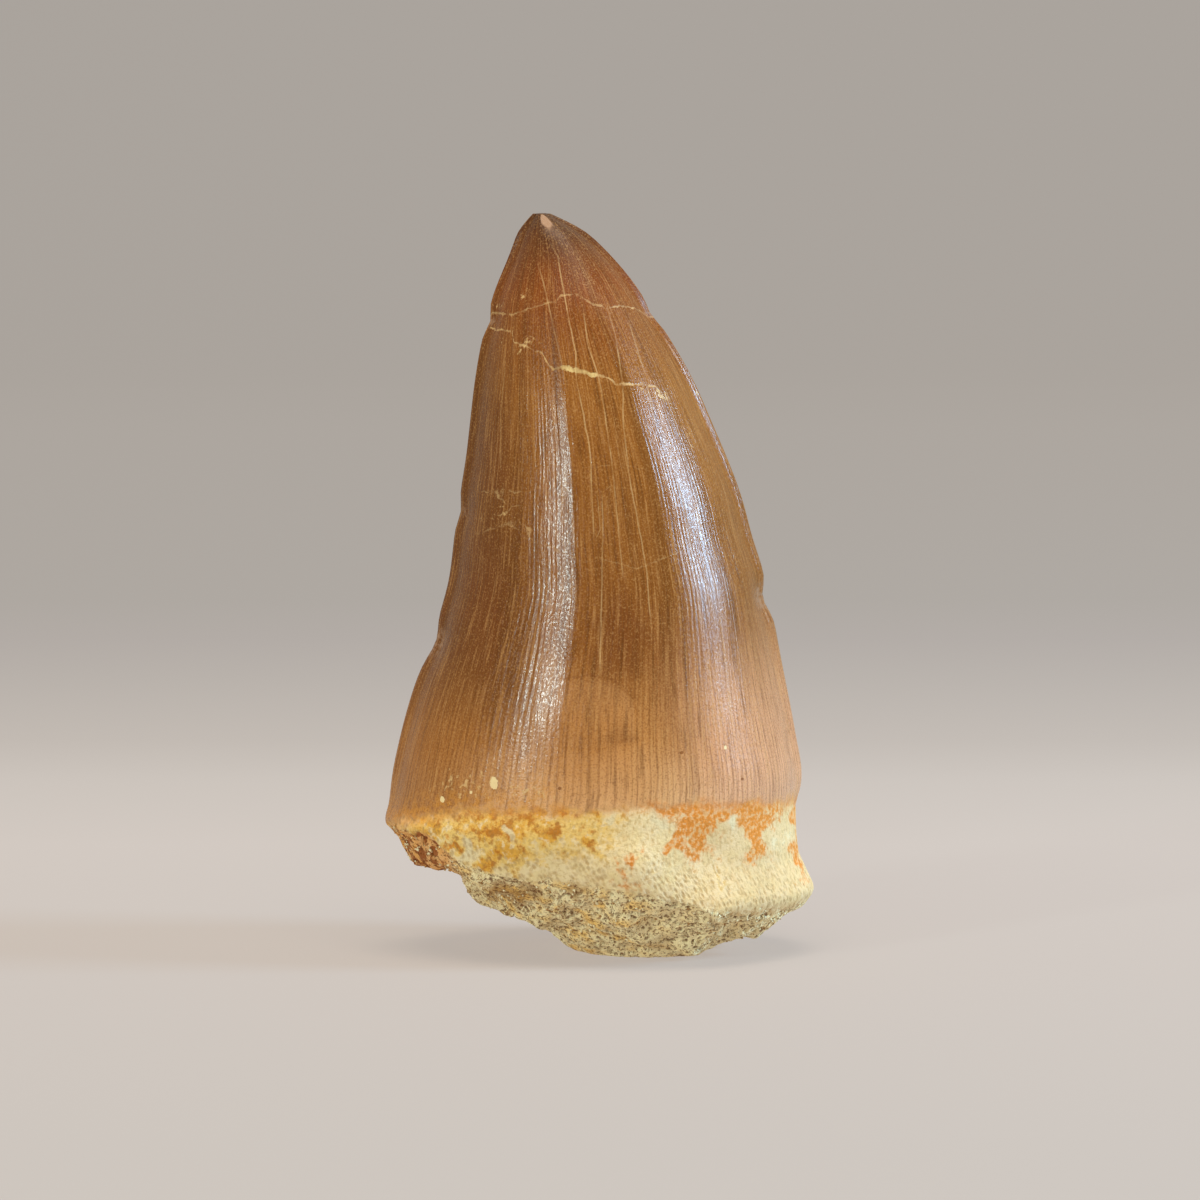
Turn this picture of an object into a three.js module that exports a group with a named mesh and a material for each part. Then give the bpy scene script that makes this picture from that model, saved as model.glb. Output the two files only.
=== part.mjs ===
// Fossil mosasaur tooth: a recurved, keeled crown on a broken bony root, all one piece.
// Millimetres, +Z up. It stands on the small flat spot under the root. +X runs across the
// face from the concave keel to the convex keel, and -Y is the face that is shown.

import * as THREE from "three";
import { LoftGeometry } from "three/addons/geometries/LoftGeometry.js";
import { mergeVertices } from "three/addons/utils/BufferGeometryUtils.js";

// Driving dimensions
const TOOTH_HEIGHT = 61.5;
const TIP_CAP = { height: 2.2, cut: 0.88 }; // the point's rounding, and the share of it not worn off
const SPINE_SHARE = 0.58; // where the crown is thickest, as a share of its width from the left
const KEEL_PINCH = 0.08; // how much the section narrows towards the two keels

// Outlines of the wall, as [height, reach]. The edges reach along X and the faces along Y.
const LEFT_EDGE = [
  [0, -13.5], [6, -16.2], [9.5, -17.6], [11, -18.0], [12.4, -17.7], [14.8, -17.4], [18.1, -16.7],
  [21.4, -15.8], [24.8, -14.6], [27.4, -13.7], [31.4, -12.6], [36.4, -12.0], [41.4, -11.2],
  [48.1, -10.4], [53.9, -9.2], [58.6, -7.4], [60.3, -6.8], [61.5, -6.4],
];
const RIGHT_EDGE = [
  [0, 14.5], [3.5, 16.8], [5.2, 17.9], [6.8, 17.3], [8.5, 16.6], [11, 16.4], [14.8, 16.8],
  [18.1, 16.3], [24.8, 15.0], [30.6, 13.9], [34.8, 12.6], [38.1, 11.7], [44.8, 9.0], [48.1, 7.5],
  [53.6, 4.2], [56.1, 2.5], [58.6, 0.3], [60.3, -1.6], [61.5, -3.4],
];
const SHOWN_FACE = [
  [0, -11.5], [5, -13.0], [12, -13.6], [20, -13.0], [31, -10.9], [44, -8.3], [53, -5.3], [58, -2.6],
  [61.5, -0.6],
];
const HIDDEN_FACE = [
  [0, 11.0], [5, 12.2], [12, 12.8], [20, 12.0], [31, 10.2], [44, 8.5], [53, 6.7], [58, 5.1],
  [61.5, 3.6],
];

// The rim where the root's wall is broken off, as [degrees round from the right keel, height].
const RIM = [
  [0, 5.0], [50, 4.2], [90, 5.0], [120, 6.2], [150, 8.6], [180, 10.5], [212, 10.6], [226, 8.3],
  [240, 7.4], [257, 7.1], [270, 6.3], [283, 5.5], [296, 4.5], [327, 4.1], [345, 4.5], [360, 5.0],
];

// The flat spot that the tooth stands on, as [degrees, x, y], and how the break climbs from
// there to the rim, all round and at the left corner, as [share of the way, share of the height].
const FLAT_SPOT = [
  [0, 8.8, 0.2], [45, 9.2, 5.2], [90, 4.0, 8.2], [135, -2.6, 7.6], [180, -2.9, 2.0], [225, -0.5, -3.4],
  [270, 3.6, -5.3], [315, 7.9, -4.2], [360, 8.8, 0.2],
];
const BREAK_CLIMB = [[0, 0], [0.3, 0.25], [0.7, 0.63], [0.92, 0.85], [1, 1]];
const CORNER_CLIMB = [
  [0, 0], [0.16, 0.17], [0.42, 0.37], [0.54, 0.44], [0.58, 0.52], [0.64, 0.69], [0.86, 0.7],
  [0.9, 0.78], [0.94, 0.9], [1, 1],
];
const CORNER_SPREAD = 3; // the higher, the narrower the left corner
const LEAST_CLIMB = 1.1; // the break rises at least this much from the flat spot to the rim

// Lumps of the broken bone, as waves over the break, and swells of the root, as waves over its wall.
const BREAK_LUMPS = [
  { x: 0.95, y: 0.4, phase: 0.3, height: 0.32 },
  { x: -0.35, y: 0.9, phase: 1.1, height: 0.3 },
  { x: 1.15, y: 1.7, phase: 2.0, height: 0.2 },
  { x: 1.9, y: -1.2, phase: 0.6, height: 0.16 },
];
const ROOT_SWELLS = [
  { around: 5, up: 0.35, phase: 0, height: 0.28 },
  { around: 9, up: -0.55, phase: 1.3, height: 0.2 },
];
const ROOT_TOP = { from: 8.5, to: 12.5 }; // the swells die away where the enamel begins

// Keels: a low sharp ridge down each edge, with small chips. side is -1 left and +1 right.
const KEEL = { height: 0.55, width: 0.085, chipWidth: 0.255, from: 9, to: 15 };
const CHIPS = [
  { side: -1, height: 52.6, length: 0.9, depth: 0.35 },
  { side: -1, height: 36.8, length: 1.1, depth: 0.3 },
  { side: -1, height: 25.9, length: 1.5, depth: 0.45 },
  { side: 1, height: 53.2, length: 0.9, depth: 0.3 },
  { side: 1, height: 29.6, length: 1.3, depth: 0.6 },
  { side: 1, height: 12.6, length: 0.8, depth: 0.15 },
];

// The crown's faces are flattened a little between blunt ridges, the two keels among them.
// ridges are degrees round from the right keel, the rest are heights.
const FACETS = {
  ridges: [0, 58, 94, 130, 180, 252, 288, 360],
  depth: 0.28,
  from: 13,
  full: 24,
  fade: 48,
  end: 58,
};

// How finely the faces are cut
const COLUMNS = 72;
const WALL_ROWS = 46;
const BREAK_ROWS = 11;
const COLUMN_CROWDING = 0.22; // how much closer the columns stand at the two keels
const ROW_CROWDING = 0.06; // the lower, the closer the rows stand at the tip
const WELD = 0.001; // points closer than this are one

const { clamp, radToDeg, smoothstep } = THREE.MathUtils;

/** The value at `at` of a smooth curve through [place, value] knots that never overshoots them. */
function through(knots, at) {
  const last = knots.length - 1;
  const above = knots.findIndex(([place]) => place > at);
  const k = above < 0 ? last - 1 : clamp(above - 1, 0, last - 1);
  const slope = (a) => (knots[a + 1][1] - knots[a][1]) / (knots[a + 1][0] - knots[a][0]);
  const tangent = (a) => {
    if (a === 0) return slope(0);
    if (a === last) return slope(last - 1);
    const [before, after] = [slope(a - 1), slope(a)];
    return before * after > 0 ? (2 * before * after) / (before + after) : 0;
  };
  const span = knots[k + 1][0] - knots[k][0];
  const s = clamp((at - knots[k][0]) / span, 0, 1);
  const rise = s * s * (3 - 2 * s);
  const bend = span * s * (1 - s) * (tangent(k) * (1 - s) - tangent(k + 1) * s);
  return knots[k][1] * (1 - rise) + knots[k + 1][1] * rise + bend;
}

/** How far the keel stands in from the edge's outline at this angle and height, with its chips. */
function keelReach(angle, height) {
  const off = Math.sin(angle);
  const side = Math.cos(angle) < 0 ? -1 : 1;
  const ridge = Math.exp(-((off / KEEL.width) ** 2)) - 1;
  const chipped = CHIPS.filter((chip) => chip.side === side).reduce(
    (sum, chip) => sum + chip.depth * Math.exp(-(((height - chip.height) / chip.length) ** 2)),
    0,
  );
  const blade = Math.exp(-((off / KEEL.chipWidth) ** 2));
  return KEEL.height * smoothstep(height, KEEL.from, KEEL.to) * ridge - chipped * blade;
}

/** Low swells of the root's wall, which die away at the enamel and at the two edges. */
function rootSwell(angle, height) {
  const waves = ROOT_SWELLS.reduce(
    (sum, wave) => sum + wave.height * Math.sin(wave.around * angle + wave.up * height + wave.phase),
    0,
  );
  return waves * (1 - smoothstep(height, ROOT_TOP.from, ROOT_TOP.to)) * Math.sin(angle) ** 2;
}

/** How far the crown's flattened facets lie in from the rounded section at this angle and height. */
function facetDepth(angle, height) {
  const degrees = radToDeg(angle);
  const next = FACETS.ridges.findIndex((ridge) => ridge > degrees);
  const [from, to] = [FACETS.ridges[next - 1], FACETS.ridges[next]];
  const across = (degrees - from) / (to - from);
  const low = smoothstep(height, FACETS.from, FACETS.full);
  const high = 1 - smoothstep(height, FACETS.fade, FACETS.end);
  return 4 * FACETS.depth * across * (1 - across) * low * high;
}

/** A point of the wall: the keeled section at this height, at this angle round from the right keel. */
function wallPoint(angle, height) {
  const [left, right] = [through(LEFT_EDGE, height), through(RIGHT_EDGE, height)];
  const [shown, hidden] = [through(SHOWN_FACE, height), through(HIDDEN_FACE, height)];
  const [across, deep] = [Math.cos(angle), Math.sin(angle)];
  const intoCap = Math.max(0, height - TOOTH_HEIGHT + TIP_CAP.height * TIP_CAP.cut) / TIP_CAP.height;
  const rounding = Math.sqrt(1 - intoCap ** 2);
  const middle = (left + right) / 2;
  const keelLine = (shown + hidden) / 2;
  const spine = left + (right - left) * SPINE_SHARE;
  const swell = rootSwell(angle, height) - facetDepth(angle, height);
  const reach = (across < 0 ? spine - left : right - spine) + keelReach(angle, height) + swell;
  const depth = (hidden - shown) / 2 + swell;
  return new THREE.Vector3(
    middle + (spine + reach * across - middle) * rounding,
    keelLine + depth * deep * Math.abs(deep) ** KEEL_PINCH * rounding,
    height,
  );
}

/** A point of the flat spot's outline. */
function flatSpotPoint(angle) {
  const along = (axis) => FLAT_SPOT.map((knot) => [knot[0], knot[axis]]);
  const degrees = radToDeg(angle);
  return new THREE.Vector3(through(along(1), degrees), through(along(2), degrees), 0);
}

/** A point of the break, from the flat spot at climb 0 to the rim at climb 1. */
function breakPoint(angle, climb) {
  const rimHeight = through(RIM, radToDeg(angle));
  const point = flatSpotPoint(angle).lerp(wallPoint(angle, rimHeight), climb);
  const corner = Math.max(0, -Math.cos(angle)) ** CORNER_SPREAD;
  const share = (1 - corner) * through(BREAK_CLIMB, climb) + corner * through(CORNER_CLIMB, climb);
  const lumps = BREAK_LUMPS.reduce(
    (sum, wave) => sum + wave.height * Math.sin(wave.x * point.x + wave.y * point.y + wave.phase),
    0,
  );
  point.z = Math.max(rimHeight * share + lumps * Math.sin(Math.PI * climb), LEAST_CLIMB * climb);
  return point;
}

/** The angle of a column, with the columns crowded towards the two keels. */
function columnAngle(column) {
  const even = (column / COLUMNS) * 2 * Math.PI;
  return even - COLUMN_CROWDING * Math.sin(2 * even);
}

/** How far down from the tip a row stands, from 0 to 1, with the rows crowded at the tip. */
function rowDrop(share) {
  return (Math.hypot(share, ROW_CROWDING) - ROW_CROWDING) / (Math.hypot(1, ROW_CROWDING) - ROW_CROWDING);
}

/** The tooth as rings of points, from the flat spot out over the break and up the wall to the tip. */
function toothRings() {
  const angles = Array.from({ length: COLUMNS }, (_, column) => columnAngle(column));
  const rings = [angles.map(flatSpotPoint)];
  for (let row = 1; row < BREAK_ROWS; row++) {
    rings.push(angles.map((angle) => breakPoint(angle, row / BREAK_ROWS)));
  }
  for (let row = WALL_ROWS; row >= 0; row--) {
    const drop = rowDrop(row / WALL_ROWS);
    rings.push(
      angles.map((angle) => {
        const rimHeight = through(RIM, radToDeg(angle));
        return wallPoint(angle, TOOTH_HEIGHT - (TOOTH_HEIGHT - rimHeight) * drop);
      }),
    );
  }
  return rings;
}

/** The tooth's closed surface, with the middle of its box over the origin. */
function toothGeometry() {
  const loft = new LoftGeometry(toothRings(), { capStart: true, capEnd: true });
  const surface = new THREE.BufferGeometry();
  surface.setAttribute("position", loft.getAttribute("position"));
  surface.setIndex(loft.getIndex());
  const closed = mergeVertices(surface, WELD);
  closed.computeBoundingBox();
  const centre = closed.boundingBox.getCenter(new THREE.Vector3());
  closed.translate(-centre.x, -centre.y, 0);
  closed.computeVertexNormals();
  return closed;
}

const enamel = new THREE.MeshStandardMaterial({ color: 0x9c6a3c, roughness: 0.35, metalness: 0 });

const tooth = new THREE.Mesh(toothGeometry(), enamel);
tooth.name = "tooth";

const fossil = new THREE.Group();
fossil.add(tooth);

export default fossil;
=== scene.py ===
"""Looks of a fossil mosasaur tooth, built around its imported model.

The tooth's form repeats the outlines that its solid is made by and samples them finely. Geometry
Nodes work the relief of the enamel and of the broken bone into that form, and scatter the grains
of rock that still cling to it. Lengths are millimetres until a mesh is written, in metres.
"""

from __future__ import annotations

import logging
import math
from dataclasses import dataclass, field
from enum import Enum
from typing import Mapping, Sequence

import bpy
import numpy as np
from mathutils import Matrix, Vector


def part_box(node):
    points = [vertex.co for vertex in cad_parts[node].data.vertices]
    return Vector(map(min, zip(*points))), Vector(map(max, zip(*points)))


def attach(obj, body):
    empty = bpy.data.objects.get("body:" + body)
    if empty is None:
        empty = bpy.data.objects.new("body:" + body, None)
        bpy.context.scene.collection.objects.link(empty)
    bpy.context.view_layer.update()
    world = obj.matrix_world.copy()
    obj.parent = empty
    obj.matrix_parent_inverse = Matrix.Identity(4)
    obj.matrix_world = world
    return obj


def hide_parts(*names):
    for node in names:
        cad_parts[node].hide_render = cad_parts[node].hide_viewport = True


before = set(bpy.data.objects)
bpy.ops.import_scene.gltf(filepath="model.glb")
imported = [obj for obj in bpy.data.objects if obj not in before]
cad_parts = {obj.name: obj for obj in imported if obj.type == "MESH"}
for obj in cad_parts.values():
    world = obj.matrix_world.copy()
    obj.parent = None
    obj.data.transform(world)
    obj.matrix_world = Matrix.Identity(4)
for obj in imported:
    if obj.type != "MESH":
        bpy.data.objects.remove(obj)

LOG = logging.getLogger("tooth")
MM = 0.001
TOOTH_HEIGHT = 61.5

# the Mix node's sockets for colours, by number, because their names repeat
MIX_SHARE, MIX_LOW, MIX_HIGH, MIX_RESULT = 0, 6, 7, 2

Knots = Sequence[tuple[float, float]]
Colour = tuple[float, float, float]
Span = tuple[float, float]


def seen(red: int, green: int, blue: int) -> Colour:
    """Turn a colour as it is seen on a screen into a linear one.

    Args:
        red: Red from 0 to 255.
        green: Green from 0 to 255.
        blue: Blue from 0 to 255.

    Returns:
        The linear colour, each part from 0 to 1.
    """
    linear = []
    for part in (red / 255, green / 255, blue / 255):
        # the standard curve of a screen: straight in the darkest tones, then a power
        linear.append(part / 12.92 if part <= 0.04045 else ((part + 0.055) / 1.055) ** 2.4)
    return tuple(linear)


def through(knots: Knots, at: np.ndarray) -> np.ndarray:
    """Read a smooth curve that goes through knots and never overshoots them.

    Args:
        knots: Pairs of place and value, in the order of their places.
        at: The places to read.

    Returns:
        The values there.
    """
    places, values = np.array(knots, float).T
    slope = np.diff(values) / np.diff(places)
    before, after = slope[:-1], slope[1:]
    one_way = before * after > 0
    inner = np.where(one_way, 2 * before * after / np.where(one_way, before + after, 1), 0)
    tangent = np.concatenate([slope[:1], inner, slope[-1:]])
    k = np.clip(np.searchsorted(places, at, side="right") - 1, 0, len(places) - 2)
    span = places[k + 1] - places[k]
    s = np.clip((at - places[k]) / span, 0, 1)
    rise = s * s * (3 - 2 * s)
    bend = span * s * (1 - s) * (tangent[k] * (1 - s) - tangent[k + 1] * s)
    return values[k] * (1 - rise) + values[k + 1] * rise + bend


def ramp(at: np.ndarray, low: float, high: float) -> np.ndarray:
    """Rise smoothly from 0 at low to 1 at high."""
    share = np.clip((at - low) / (high - low), 0, 1)
    return share * share * (3 - 2 * share)


class Wire:
    """A socket of a node graph that takes part in arithmetic by adding Math nodes."""

    def __init__(self, graph: Graph, socket: bpy.types.NodeSocket) -> None:
        """Wrap an output socket of a graph."""
        self.graph = graph
        self.socket = socket

    def math(self, operation: str, *values: Wire | float) -> Wire:
        """Add one Math node.

        Args:
            operation: The Math node's operation.
            values: What it works on, in order.

        Returns:
            The result.
        """
        return self.graph.add("ShaderNodeMath", {"operation": operation}, dict(enumerate(values)))

    def __add__(self, other: Wire | float) -> Wire:
        """Add."""
        return self.math("ADD", self, other)

    __radd__ = __add__

    def __sub__(self, other: Wire | float) -> Wire:
        """Subtract."""
        return self.math("SUBTRACT", self, other)

    def __rsub__(self, other: float) -> Wire:
        """Subtract from a number."""
        return self.math("SUBTRACT", other, self)

    def __mul__(self, other: Wire | float) -> Wire:
        """Multiply."""
        return self.math("MULTIPLY", self, other)

    __rmul__ = __mul__

    def __truediv__(self, other: Wire | float) -> Wire:
        """Divide."""
        return self.math("DIVIDE", self, other)

    def __abs__(self) -> Wire:
        """Drop the sign."""
        return self.math("ABSOLUTE", self)

    def least(self, other: Wire | float) -> Wire:
        """Take the smaller of the two."""
        return self.math("MINIMUM", self, other)

    def most(self, other: Wire | float) -> Wire:
        """Take the larger of the two."""
        return self.math("MAXIMUM", self, other)

    def sine(self) -> Wire:
        """Take the sine."""
        return self.math("SINE", self)

    def ramp(self, low: float, high: float) -> Wire:
        """Rise smoothly from 0 at low to 1 at high, or fall where low is the larger.

        Args:
            low: Where the result is 0.
            high: Where the result is 1.

        Returns:
            The share from 0 to 1.
        """
        rising = low < high
        sockets = {
            "Value": self,
            "From Min": min(low, high),
            "From Max": max(low, high),
            "To Min": 0.0 if rising else 1.0,
            "To Max": 1.0 if rising else 0.0,
        }
        settings = {"interpolation_type": "SMOOTHSTEP"}
        return self.graph.add("ShaderNodeMapRange", settings, sockets)


class Graph:
    """A node tree under construction, in a material or in Geometry Nodes."""

    def __init__(self, tree: bpy.types.NodeTree) -> None:
        """Take an empty tree."""
        self.tree = tree

    def node(
        self, kind: str, settings: Mapping[str, object], sockets: Mapping[str | int, object]
    ) -> bpy.types.Node:
        """Add one node.

        Args:
            kind: The node's type.
            settings: Its settings, set first. "stops" are a colour ramp's, as place and colour.
            sockets: Values or wires for its inputs, by name or number.

        Returns:
            The node.
        """
        made = self.tree.nodes.new(kind)
        for name, value in settings.items():
            if name == "stops":
                self._set_stops(made.color_ramp, value)
            else:
                setattr(made, name, value)
        for name, value in sockets.items():
            if isinstance(value, Wire):
                self.tree.links.new(value.socket, made.inputs[name])
            else:
                made.inputs[name].default_value = value
        return made

    def add(
        self,
        kind: str,
        settings: Mapping[str, object],
        sockets: Mapping[str | int, object],
        output: str | int = 0,
    ) -> Wire:
        """Add one node and take one of its outputs.

        Args:
            kind: The node's type.
            settings: Its settings.
            sockets: Values or wires for its inputs.
            output: The output's name or number.

        Returns:
            The output.
        """
        return Wire(self, self.node(kind, settings, sockets).outputs[output])

    @staticmethod
    def _set_stops(colours: bpy.types.ColorRamp, stops: Sequence[tuple[float, Colour]]) -> None:
        """Give a colour ramp its stops.

        Args:
            colours: The ramp.
            stops: Each stop's place from 0 to 1, and its colour.
        """
        while len(colours.elements) < len(stops):
            colours.elements.new(1.0)
        for element, (place, colour) in zip(colours.elements, stops):
            element.position = place
            element.color = (*colour, 1.0)

    def attribute(self, name: str, vector: bool = False) -> Wire:
        """Read an attribute of the mesh.

        Args:
            name: The attribute's name.
            vector: Whether it holds vectors.

        Returns:
            Its value at each point.
        """
        if self.tree.bl_idname == "GeometryNodeTree":
            settings = {"data_type": "FLOAT_VECTOR" if vector else "FLOAT"}
            return self.add("GeometryNodeInputNamedAttribute", settings, {"Name": name})
        output = "Vector" if vector else "Fac"
        return self.add("ShaderNodeAttribute", {"attribute_name": name}, {}, output)

    def parts(self, vector: Wire) -> tuple[Wire, Wire, Wire]:
        """Split a vector into its three parts."""
        made = self.node("ShaderNodeSeparateXYZ", {}, {"Vector": vector})
        return tuple(Wire(self, made.outputs[k]) for k in range(3))

    def vector_math(self, operation: str, *values: Wire | Sequence[float]) -> Wire:
        """Add one Vector Math node."""
        return self.add("ShaderNodeVectorMath", {"operation": operation}, dict(enumerate(values)))

    def noise(self, place: Wire, size: float, detail: float = 2.0, rough: float = 0.5) -> Wire:
        """Add a soft noise.

        Args:
            place: Where it is read, in millimetres.
            size: How far apart its swells are, in millimetres.
            detail: How many finer layers it has.
            rough: How strong the finer layers are.

        Returns:
            A number about 0.5.
        """
        sockets = {"Vector": place, "Scale": 1 / size, "Detail": detail, "Roughness": rough}
        return self.add("ShaderNodeTexNoise", {}, sockets)

    def mix(self, share: Wire | float, low: Wire | Colour, high: Wire | Colour) -> Wire:
        """Mix two colours.

        Args:
            share: 0 for the first colour, 1 for the second.
            low: The first colour.
            high: The second colour.

        Returns:
            The mixed colour.
        """
        ends = [end if isinstance(end, Wire) else (*end, 1.0) for end in (low, high)]
        sockets = {MIX_SHARE: share, MIX_LOW: ends[0], MIX_HIGH: ends[1]}
        return self.add("ShaderNodeMix", {"data_type": "RGBA"}, sockets, MIX_RESULT)


class Side(Enum):
    """The two edges of the crown."""

    CONCAVE = -1
    CONVEX = 1


@dataclass(frozen=True)
class Chip:
    """A small piece lost from a keel."""

    side: Side
    height: float
    length: float
    depth: float


@dataclass(frozen=True)
class Wave:
    """One wave of a lumpy surface, over two coordinates."""

    first: float
    second: float
    phase: float
    height: float

    def at(self, first: np.ndarray, second: np.ndarray) -> np.ndarray:
        """Read the wave at a place."""
        return self.height * np.sin(self.first * first + self.second * second + self.phase)


@dataclass(frozen=True)
class ToothForm:
    """The outlines that the tooth's solid is made by. Angles go round from the convex keel."""

    height: float = TOOTH_HEIGHT
    cap_height: float = 2.2
    cap_cut: float = 0.88
    spine_share: float = 0.58
    keel_pinch: float = 0.08
    left_edge: Knots = (
        (0, -13.5), (6, -16.2), (9.5, -17.6), (11, -18.0), (12.4, -17.7), (14.8, -17.4), (18.1, -16.7),
        (21.4, -15.8), (24.8, -14.6), (27.4, -13.7), (31.4, -12.6), (36.4, -12.0), (41.4, -11.2),
        (48.1, -10.4), (53.9, -9.2), (58.6, -7.4), (60.3, -6.8), (61.5, -6.4),
    )
    right_edge: Knots = (
        (0, 14.5), (3.5, 16.8), (5.2, 17.9), (6.8, 17.3), (8.5, 16.6), (11, 16.4), (14.8, 16.8),
        (18.1, 16.3), (24.8, 15.0), (30.6, 13.9), (34.8, 12.6), (38.1, 11.7), (44.8, 9.0), (48.1, 7.5),
        (53.6, 4.2), (56.1, 2.5), (58.6, 0.3), (60.3, -1.6), (61.5, -3.4),
    )
    shown_face: Knots = (
        (0, -11.5), (5, -13.0), (12, -13.6), (20, -13.0), (31, -10.9), (44, -8.3), (53, -5.3),
        (58, -2.6), (61.5, -0.6),
    )
    hidden_face: Knots = (
        (0, 11.0), (5, 12.2), (12, 12.8), (20, 12.0), (31, 10.2), (44, 8.5), (53, 6.7), (58, 5.1),
        (61.5, 3.6),
    )
    rim: Knots = (
        (0, 5.0), (50, 4.2), (90, 5.0), (120, 6.2), (150, 8.6), (180, 10.5), (212, 10.6), (226, 8.3),
        (240, 7.4), (257, 7.1), (270, 6.3), (283, 5.5), (296, 4.5), (327, 4.1), (345, 4.5), (360, 5.0),
    )
    flat_spot_x: Knots = (
        (0, 8.8), (45, 9.2), (90, 4.0), (135, -2.6), (180, -2.9), (225, -0.5), (270, 3.6), (315, 7.9),
        (360, 8.8),
    )
    flat_spot_y: Knots = (
        (0, 0.2), (45, 5.2), (90, 8.2), (135, 7.6), (180, 2.0), (225, -3.4), (270, -5.3), (315, -4.2),
        (360, 0.2),
    )
    break_climb: Knots = ((0, 0), (0.3, 0.25), (0.7, 0.63), (0.92, 0.85), (1, 1))
    corner_climb: Knots = (
        (0, 0), (0.16, 0.17), (0.42, 0.37), (0.54, 0.44), (0.58, 0.52), (0.64, 0.69), (0.86, 0.7),
        (0.9, 0.78), (0.94, 0.9), (1, 1),
    )
    corner_spread: float = 3
    least_climb: float = 1.1
    break_lumps: tuple[Wave, ...] = (
        Wave(0.95, 0.4, 0.3, 0.32),
        Wave(-0.35, 0.9, 1.1, 0.3),
        Wave(1.15, 1.7, 2.0, 0.2),
        Wave(1.9, -1.2, 0.6, 0.16),
    )
    root_swells: tuple[Wave, ...] = (Wave(5, 0.35, 0, 0.28), Wave(9, -0.55, 1.3, 0.2))
    root_top: Span = (8.5, 12.5)
    keel_height: float = 0.55
    keel_width: float = 0.085
    chip_width: float = 0.255
    keel_from: Span = (9, 15)
    chips: tuple[Chip, ...] = (
        Chip(Side.CONCAVE, 52.6, 0.9, 0.35),
        Chip(Side.CONCAVE, 36.8, 1.1, 0.3),
        Chip(Side.CONCAVE, 25.9, 1.5, 0.45),
        Chip(Side.CONVEX, 53.2, 0.9, 0.3),
        Chip(Side.CONVEX, 29.6, 1.3, 0.6),
        Chip(Side.CONVEX, 12.6, 0.8, 0.15),
    )
    facet_ridges: tuple[float, ...] = (0, 58, 94, 130, 180, 252, 288, 360)
    facet_depth: float = 0.28
    facet_low: Span = (13, 24)
    facet_high: Span = (48, 58)

    def chipped(self, angle: np.ndarray, height: np.ndarray) -> np.ndarray:
        """Say how deep the keels' chips are at a place of the wall.

        Args:
            angle: Angles round from the convex keel, in radians.
            height: Heights over the ground.

        Returns:
            The depths, in millimetres.
        """
        side = np.where(np.cos(angle) < 0, -1, 1)
        lost = 0 * height
        for chip in self.chips:
            along = np.exp(-(((height - chip.height) / chip.length) ** 2))
            lost = lost + (side == chip.side.value) * chip.depth * along
        return lost * np.exp(-((np.sin(angle) / self.chip_width) ** 2))

    def keel_reach(self, angle: np.ndarray, height: np.ndarray) -> np.ndarray:
        """Say how far the wall stands in from the edge's outline beside the keel.

        Args:
            angle: Angles round from the convex keel, in radians.
            height: Heights over the ground.

        Returns:
            The distances, less than 0 where it stands in.
        """
        ridge = np.exp(-((np.sin(angle) / self.keel_width) ** 2)) - 1
        keel = self.keel_height * ramp(height, *self.keel_from) * ridge
        return keel - self.chipped(angle, height)

    def swell(self, angle: np.ndarray, height: np.ndarray) -> np.ndarray:
        """Say how far the root's swells stand out and the crown's facets lie in.

        Args:
            angle: Angles round from the convex keel, in radians.
            height: Heights over the ground.

        Returns:
            The distances, more than 0 where it stands out.
        """
        waves = sum(wave.at(angle, height) for wave in self.root_swells)
        root = waves * (1 - ramp(height, *self.root_top)) * np.sin(angle) ** 2
        degrees = np.degrees(angle)
        ridges = np.array(self.facet_ridges)
        after = np.clip(np.searchsorted(ridges, degrees, side="right"), 1, len(ridges) - 1)
        across = (degrees - ridges[after - 1]) / (ridges[after] - ridges[after - 1])
        on_crown = ramp(height, *self.facet_low) * (1 - ramp(height, *self.facet_high))
        return root - 4 * self.facet_depth * across * (1 - across) * on_crown

    def wall(self, angle: np.ndarray, height: np.ndarray) -> np.ndarray:
        """Find points of the wall.

        Args:
            angle: Angles round from the convex keel, in radians.
            height: Heights over the ground.

        Returns:
            The points, in the last axis.
        """
        left, right = through(self.left_edge, height), through(self.right_edge, height)
        shown, hidden = through(self.shown_face, height), through(self.hidden_face, height)
        across, deep = np.cos(angle), np.sin(angle)
        cap_foot = self.height - self.cap_height * self.cap_cut
        into_cap = np.maximum(0, height - cap_foot) / self.cap_height
        rounding = np.sqrt(1 - into_cap**2)
        middle, keel_line = (left + right) / 2, (shown + hidden) / 2
        spine = left + (right - left) * self.spine_share
        swell = self.swell(angle, height)
        reach = np.where(across < 0, spine - left, right - spine)
        reach = reach + self.keel_reach(angle, height) + swell
        depth = (hidden - shown) / 2 + swell
        x = middle + (spine + reach * across - middle) * rounding
        y = keel_line + depth * deep * np.abs(deep) ** self.keel_pinch * rounding
        return np.stack([x, y, height + 0 * x], axis=-1)

    def flat_spot(self, angle: np.ndarray) -> np.ndarray:
        """Find points of the flat spot's outline.

        Args:
            angle: Angles round from the convex keel, in radians.

        Returns:
            The points, in the last axis.
        """
        degrees = np.degrees(angle)
        x, y = through(self.flat_spot_x, degrees), through(self.flat_spot_y, degrees)
        return np.stack([x, y, 0 * x], axis=-1)

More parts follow.
